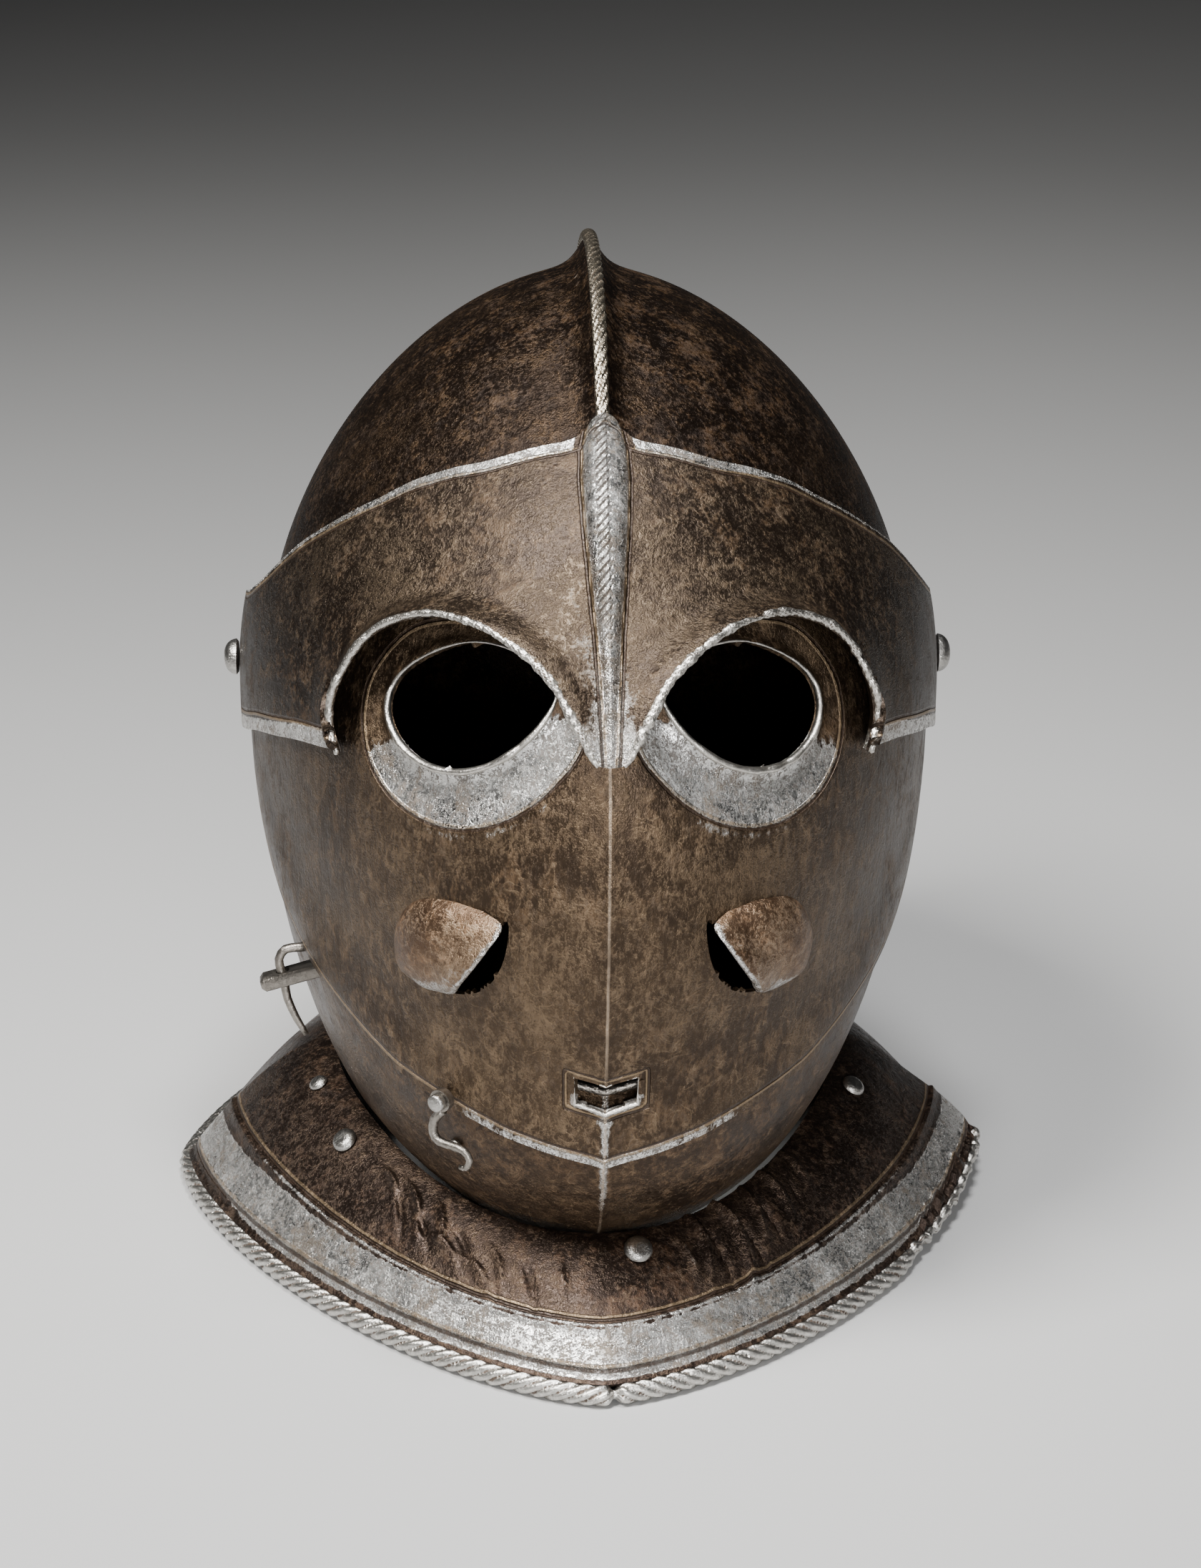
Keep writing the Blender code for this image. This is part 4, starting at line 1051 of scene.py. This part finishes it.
# %% Bevor
BEVOR_COLUMNS = [
    (0.0, -57.0, 0.0, -30.4), (3.0, -57.0, 3.0, -30.2), (8.0, -56.8, 8.0, -29.4),
    (15.0, -56.4, 15.0, -27.6), (23.0, -55.9, 22.5, -24.9), (32.0, -55.7, 30.5, -21.6),
    (42.0, -56.2, 39.5, -17.6), (52.0, -57.2, 48.5, -13.6), (62.0, -58.6, 58.0, -9.2),
    (71.0, -59.9, 67.0, -4.0), (79.0, -60.7, 75.5, 2.6), (85.5, -61.0, 82.5, 7.8), (90.5, -60.8, 88.0, 9.8),
    (94.4, -60.0, 92.2, 8.6), (97.2, -58.4, 95.6, 5.0),
]
BEVOR_INSET = 2.5
BEVOR_ACROSS, BEVOR_TALL, BEVOR_SAMPLES = 220, 70, 2000


def bevor_surface(turn, lift):
    points = on_shell(direction(turn, lift), STEP_BEVOR)
    under_face = np.clip((lift + 42) / 6, 0, 1) * np.clip((44 - np.abs(turn)) / 12, 0, 1)
    return push(points, ridge_at(points) - BEVOR_INSET * under_face)


bm, turn_lift, edges = laid_out(
    BEVOR_COLUMNS, BEVOR_SAMPLES, BEVOR_ACROSS, BEVOR_TALL, lambda edges: bevor_surface(*middle_of(edges))
)
points = bevor_surface(*turn_lift.T)
wear_and_painted_sheen = 0.95 * near(points[:, 0], 1.5) * ramp(turn_lift[:, 1], -48, -43)
place(bm, points)
mark(bm, band_mm=-20, line_mm=9, wear_and_painted_sheen=wear_and_painted_sheen)
outward(bm)
bevor_sheet = as_object(bm, "bevor_sheet", WALL)
top_edge = bevor_surface(*edges[:, 2:].T)
path = resampled(top_edge[np.abs(edges[:, 2]) < 30], 240)
roll_path = push(path, np.full(len(path), -0.9))
bevor_roll = rope("bevor_roll", roll_path, path, 1.3, strands=5, pitch=3.2, depth=0.25, around=14)
# The roll shows only through the mouth slit, so it takes the dark iron finish: painted shade that keeps the
# slit dark.
forged(
    "bevor_steel", [bevor_sheet, bevor_roll], [bevor_finish, iron_finish],
    "lower_face", ["bevor"],
)

# %% [markdown]
# The two neck plates flare out over the shoulders and end in the thickest rope of the helmet. The front
# one has a raised step and a broad filed border. Its right end has been hit: the rope is torn away there,
# the edge is chipped and bent, and the rope is cracked at the front. Those marks are part of this object,
# so each is placed one by one.

# %% Neck plates: form
STAND_HEIGHT, FRONT_LIFT = 180.0, 2.6
GORGET_HALF, GORGET_FRONT, GORGET_BACK = 133.0, 158.5, 121.5
NECK_SIDE_DROP, NECK_FRONT_DROP, NECK_BACK_DROP, NECK_GAP = 134.0, 147.0, 136.0, 1.0
EDGE_BEAD, LAP_SHARE, NECK_WALL = 3.4, 0.80, 2.0
EDGE_POWER = 1.5  # 1 would make the outline a diamond, and 2 an ellipse
FRONT_TURN, REAR_SHEET_TURN, REAR_EDGE_TURN = 90.4, 87.2, 91.3  # where the plates and the rear rope end


def neck_drop(turn):
    c = np.cos(np.radians(turn))
    return NECK_SIDE_DROP + (np.where(c > 0, NECK_FRONT_DROP, NECK_BACK_DROP) - NECK_SIDE_DROP) * c**2


TURNS = np.arange(0, 181, 1.0)


def neck_reaches(lift):
    """Level distance from the middle to the neck edge at each turn, clear of the bevor and of the skull."""
    lifts = np.linspace(-74, -35, 79)
    found = []
    for one in TURNS:
        step = np.interp(one, (104, 112), (STEP_BEVOR, 0)) + NECK_GAP
        points = on_shell(direction(np.full(len(lifts), one), lifts), step)
        heights = lift - neck_drop(one) + np.linspace(-3.2, 0.5, 6)
        found.append(np.interp(heights, points[:, 2], np.hypot(points[:, 0], points[:, 1])).max())
    return softened(np.array(found), 1.5)


NECK_REACH = {lift: neck_reaches(lift) for lift in (0.0, FRONT_LIFT)}


def gorget_point(turn, share, lift):
    """A point of a neck plate's upper face: share runs from the neck to the outer edge."""
    ahead = np.abs(turn) <= 90
    s = np.abs(np.sin(np.radians(turn)))
    c = np.abs(np.cos(np.radians(turn)))
    neck = np.interp(np.abs(turn), TURNS, NECK_REACH[lift])
    power = np.where(ahead, EDGE_POWER, EDGE_POWER + 0.5 * c)
    half_deep = np.where(ahead, GORGET_FRONT, GORGET_BACK)
    edge = ((s / GORGET_HALF) ** power + (c / half_deep) ** power) ** (-1 / power)
    reach = neck + (edge - EDGE_BEAD - neck) * share
    drop = neck_drop(turn)
    down = drop + (STAND_HEIGHT - EDGE_BEAD - 0.6 - drop) * share**1.6
    return np.stack([reach * np.sin(np.radians(turn)), -reach * np.cos(np.radians(turn)), lift - down], -1)


def span_at(turn, lift):
    """Length of the plate from the neck to the edge at each turn."""
    ends = [gorget_point(turn, np.full(len(turn), share), lift) for share in (0.0, 1.0)]
    return np.linalg.norm(ends[1] - ends[0], axis=1)


def neck_sheet(name, turns, lift, tall, shape, reach_share=1.0):
    """The wall of a neck plate. shape gives its relief and marks from the turn, the share and the points."""
    bm, i, j = grid(len(turns) - 1, tall)
    turn, share = turns[i], j / tall * np.broadcast_to(reach_share, len(turns))[i]
    points = gorget_point(turn, share, lift)
    height, marks = shape(turn, share, points)
    points[:, 2] += height
    place(bm, points)
    mark(bm, **marks)
    outward(bm, (0, 0, 1))
    return as_object(bm, name, NECK_WALL)


def edge_path(turns):
    """Middle of the roped edge."""
    rim = gorget_point(turns, np.ones(len(turns)), 0.0)
    rim[:, 2] = -STAND_HEIGHT + EDGE_BEAD
    return rim


# %% Neck plates: front
CREASES = [
    # (turn, share, half length, half width, slant in degrees, height), lengths in millimetres
    (-37, 0.28, 7, 1.2, 52, 1.5), (-34, 0.36, 8, 1.1, 48, -1.1), (-31, 0.28, 8, 1.2, 42, 1.4),
    (-28, 0.40, 7, 1.0, 50, -1.0), (-25, 0.30, 6, 1.1, 30, 1.2), (-23, 0.46, 7, 1.2, 56, 1.2),
    (-20, 0.38, 6, 1.0, 40, -0.9), (-17, 0.52, 7, 1.1, 50, 1.1), (-14, 0.44, 6, 1.0, 28, 0.9),
    (-9, 0.50, 6, 1.1, 20, -0.8), (-5, 0.42, 5, 1.0, 10, 0.6), (13, 0.38, 6, 1.2, 20, 0.9),
    (16, 0.30, 10, 1.5, 6, 1.5), (18, 0.40, 8, 1.0, 16, -1.0), (22, 0.33, 12, 1.7, 12, 1.9),
    (24, 0.44, 7, 1.0, 22, -0.9), (27, 0.28, 9, 1.3, -2, 1.3), (29, 0.38, 6, 1.0, 14, -1.1),
    (33, 0.24, 8, 1.5, 9, 1.2), (36, 0.34, 6, 1.0, -6, -0.6), (40, 0.22, 6, 1.4, 3, 0.8),
]
FOLD_HEIGHT, FOLD_BEND = 1.6, 0.02
STEP_AT = 0.70  # share where the raised line parts the field from the border
TORN_FROM, TORN_TO, CRACK_AT = 50, 58, 1.2  # turns where the rope is lost, and where it is cracked
CURL, CURL_FROM, CURL_TO = 5.5, 60, 84  # millimetres that this end is bent up, and between which turns
LUMPS = [
    # (turn, share, half length, height) of the steel that is bent up along the torn end
    (61, 0.99, 4.5, 2.2), (67, 0.97, 4.0, 3.0), (72, 1.0, 3.5, 1.6), (76, 0.96, 4.5, 3.6),
    (82, 0.99, 4.0, 2.2),
]


def offset_from(points, turn_at, share_at):
    """The points as seen from one place on the front plate."""
    return points - gorget_point(np.array([float(turn_at)]), np.array([share_at]), FRONT_LIFT)[0]


def creased(points):
    """Height of the hammered folds at each point, from their listed places."""
    total = np.zeros(len(points))
    for turn_at, share_at, long, wide, slant, height in CREASES:
        offset = offset_from(points, turn_at, share_at)
        t, a = np.radians((turn_at, slant))
        u = offset[:, 0] * np.cos(t) + offset[:, 1] * np.sin(t)
        v = offset[:, 0] * np.sin(t) - offset[:, 1] * np.cos(t)
        along = u * np.sin(a) + v * np.cos(a)
        across = u * np.cos(a) - v * np.sin(a) + FOLD_BEND * along**2
        total += FOLD_HEIGHT * height * near(along, long) * near(across, wide)
    return total


def front_shape(turn, share, points):
    span = span_at(turn, FRONT_LIFT)
    past = (share - STEP_AT) * span
    from_edge = (1 - share) * span
    folds = creased(points)
    height = folds + 1.1 * ramp(past, -1.4, 0.2) - 0.9 * ramp(past, 0.3, 2.6)
    height -= 0.9 * near(from_edge - 2.4, 1.3)
    for turn_at, share_at, long, lump in LUMPS:
        offset = offset_from(points, turn_at, share_at)
        height += lump * near(np.linalg.norm(offset, axis=1), long)
    height += CURL * ramp(turn, CURL_FROM, CURL_TO) * ramp(share, 0.45, 1)
    ripple = 0.9 * np.sin(turn * 1.9) + 0.7 * np.sin(turn * 4.3)
    height += ripple * ramp(turn, 54, 62) * ramp(share, 0.86, 1)
    side = ramp(np.abs(turn + 4), 52, 84)
    band = np.minimum(past - 0.9, from_edge - 1.4) - side * 2.4 - 0.7 * ramp(np.abs(turn), 20, 50)
    wear_and_painted_sheen = 0.9 * near(past - 0.1, 1.0) * (1 - side) + 0.25 * np.clip(folds, 0, 1)
    wear_and_painted_sheen = wear_and_painted_sheen + 0.25 * near(turn, 34) * near(share - 0.40, 0.25)
    line = np.where(past < from_edge * 0.5, past + 2.0, 3.6 - from_edge)
    return height, {"band_mm": band, "line_mm": line, "wear_and_painted_sheen": np.clip(wear_and_painted_sheen, 0, 1)}


front_turns = np.linspace(-FRONT_TURN, FRONT_TURN, 421)
front_sheet = neck_sheet("front_sheet", front_turns, FRONT_LIFT, 78, front_shape)
FRONT_EDGE_POINTS = 900
edge_turns = np.linspace(-FRONT_TURN, FRONT_TURN, FRONT_EDGE_POINTS)
front_edge = edge_path(edge_turns)
torn = ramp(edge_turns, TORN_FROM, TORN_TO)
ripple = 0.12 * np.sin(edge_turns * 1.7) + 0.05 * np.sin(edge_turns * 4.1)
cracked = 1 - 0.6 * near(edge_turns - CRACK_AT, 0.5)
edge_size = EDGE_BEAD * (1 + torn * (ripple - 0.5)) * cracked
front_edge[:, 2] += torn * (0.4 * EDGE_BEAD + np.sin(edge_turns * 1.1) ** 2)
front_edge[:, 2] += CURL * ramp(edge_turns, CURL_FROM, CURL_TO)
front_rope = rope(
    "front_rope", front_edge, UPRIGHT, edge_size, strands=5, pitch=5.0, depth=0.36 * (1 - 0.5 * torn),
    around=26, turned_at=0.503,
)
forged(
    "front_gorget_steel", [front_sheet, front_rope], [gorget_finish, rope_finish],
    "lower_face", ["front_gorget"],
)


# %% Neck plates: rear
def rear_shape(turn, share, _):
    from_edge = (1 - share) * span_at(turn, 0.0)
    band, wear_and_painted_sheen = 3.4 * near(from_edge - 6, 5) - 4.0, 0.3 * near(from_edge - 4, 4)
    return np.zeros(len(turn)), {"band_mm": band, "line_mm": 12.0 - from_edge, "wear_and_painted_sheen": wear_and_painted_sheen}


def signed(turns):
    return np.where(turns > 180, turns - 360, turns)


rear_turns = np.linspace(REAR_SHEET_TURN, 360 - REAR_SHEET_TURN, 300)
lapped = (rear_turns < 91) | (rear_turns > 269)
reach_share = np.where(lapped, LAP_SHARE, 1.0)
rear_sheet = neck_sheet("rear_sheet", signed(rear_turns), 0.0, 48, rear_shape, reach_share)
REAR_EDGE_POINTS = 760
rear_edge = edge_path(signed(np.linspace(REAR_EDGE_TURN, 360 - REAR_EDGE_TURN, REAR_EDGE_POINTS)))
rear_rope = rope(
    "rear_rope", rear_edge, UPRIGHT, EDGE_BEAD, strands=5, pitch=5.0, depth=0.26, around=24, turned_at=0.5
)
forged(
    "rear_gorget_steel", [rear_sheet, rear_rope], [gorget_finish, rope_finish],
    "skull", ["rear_gorget"],
)

# %% [markdown]
# The rivets are hand-set, so no two heads are alike: each is a low, slightly lopsided dome with one knock
# in it. They could be lathe-turned, but a dome made of a wrapped grid takes the knock at once. The stud,
# the knob, the latch and the two hooks keep the shapes that the CAD model gives them. Copies of those
# solids are merged, shaded smooth and given the iron or the rivet finish.


# %% Rivet heads
def rivet_head(name, node, at, out, head, rise, body, seed):
    """A battered dome on the surface at this point, with its own underside."""
    around, rings = 40, 12
    out = unit(np.asarray(out, float))
    side = unit(np.cross(out, (0.3, 0.2, 1.0)))
    other = np.cross(out, side)
    bm, i, j = grid(around, rings)
    angle = 2 * np.pi * (i % around) / around
    share = j / rings
    dome = np.clip(share / 0.8, 0, 1)
    under = np.clip((share - 0.8) / 0.2, 0, 1)
    lop = 1 + 0.05 * np.sin(angle + seed) + 0.035 * np.sin(2 * angle + 1.7 * seed)
    reach = head * np.sin(dome * np.pi / 2) ** 0.9 * lop * (1 - under)
    across, along = reach * np.cos(angle), reach * np.sin(angle)
    up = rise * np.cos(dome * np.pi / 2) ** 0.85 + 0.3 - under * 0.25
    knock = near(np.hypot(across - 0.35 * head * np.cos(seed), along - 0.2 * head), 0.4 * head)
    up -= 0.16 * rise * knock * (under == 0)
    place(bm, np.asarray(at) + across[:, None] * side + along[:, None] * other + up[:, None] * out)
    mark(bm, hollow=np.where(share > 0.72, 0.5, 0.0))
    bmesh.ops.remove_doubles(bm, verts=bm.verts, dist=DOME_MERGE)
    bmesh.ops.recalc_face_normals(bm, faces=bm.faces)
    forged(f"{node}_head", [as_object(bm, name)], [rivet_finish], body, [node], sharp=50)


def neck_normal(turn, share, lift):
    turns, shares = np.array([turn, turn + 0.3, turn]), np.array([share, share, share + 0.02])
    at, beside, below = gorget_point(turns, shares, lift)
    out = np.cross(below - at, beside - at)
    return at, out * np.sign(out[2])


HEAD_RISE, PIVOT_HEAD, PIVOT_RISE = 0.62, 5.9, 4.8
RIVETS = [
    # (node, turn, share from neck to edge, head), the front plate's then the rear plate's
    ("gorget_rivet_1", -72.0, 0.19, 3.1), ("gorget_rivet_2", -53.0, 0.28, 4.2),
    ("gorget_rivet_3", 5.5, 0.22, 4.6), ("gorget_rivet_4", 69.0, 0.20, 4.0),
    ("rear_rivet_1", -118.0, 0.24, 3.4), ("rear_rivet_2", -164.0, 0.24, 3.4),
    ("rear_rivet_3", 164.0, 0.24, 3.4), ("rear_rivet_4", 118.0, 0.24, 3.4),
]
for number, (node, turn_at, share_at, head) in enumerate(RIVETS):
    ahead = node.startswith("gorget")
    at, out = neck_normal(turn_at, share_at, FRONT_LIFT if ahead else 0.0)
    body = "lower_face" if ahead else "skull"
    rivet_head(f"{node}_dome", node, at, out, head, HEAD_RISE * head, body, 1.3 * number)
for sign, node in ((-1, "pivot_rivet_left"), (1, "pivot_rivet_right")):
    at = (sign * (HALF_WIDTH + STEP_BROW), 0.0, 0.0)
    rivet_head(f"{node}_dome", node, at, (sign, 0.0, 0.0), PIVOT_HEAD, PIVOT_RISE, "skull", 2.0 + sign)


# %% Latch, stud and hooks
def dressed(node, finish, body, slot):
    """A merged, smooth copy of a CAD solid with a finish on it."""
    bm = bmesh.new()
    bm.from_mesh(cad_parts[node].data)
    bmesh.ops.remove_doubles(bm, verts=bm.verts, dist=CAD_MERGE)
    bmesh.ops.dissolve_limit(bm, angle_limit=np.radians(1), verts=bm.verts, edges=bm.edges)
    bmesh.ops.triangulate(bm, faces=bm.faces)
    forged(f"{node}_iron", [as_object(bm, f"{node}_copy")], [finish], body, [node], sharp=42)


SMALL_IRON = [
    # (node, finish, body, slot)
    ("latch_hook", iron_finish, "latch", "dark_iron"),
    ("latch_stud", rivet_finish, "lower_face", "bright_steel"),
    ("latch_knob", iron_finish, "lower_face", "dark_iron"),
    ("pierced_stud", iron_finish, "lower_face", "dark_iron"),
    ("side_hook", iron_finish, "lower_face", "dark_iron"),
]
for small_part in SMALL_IRON:
    dressed(*small_part)

# %% Final update of the scene
bpy.context.view_layer.update()
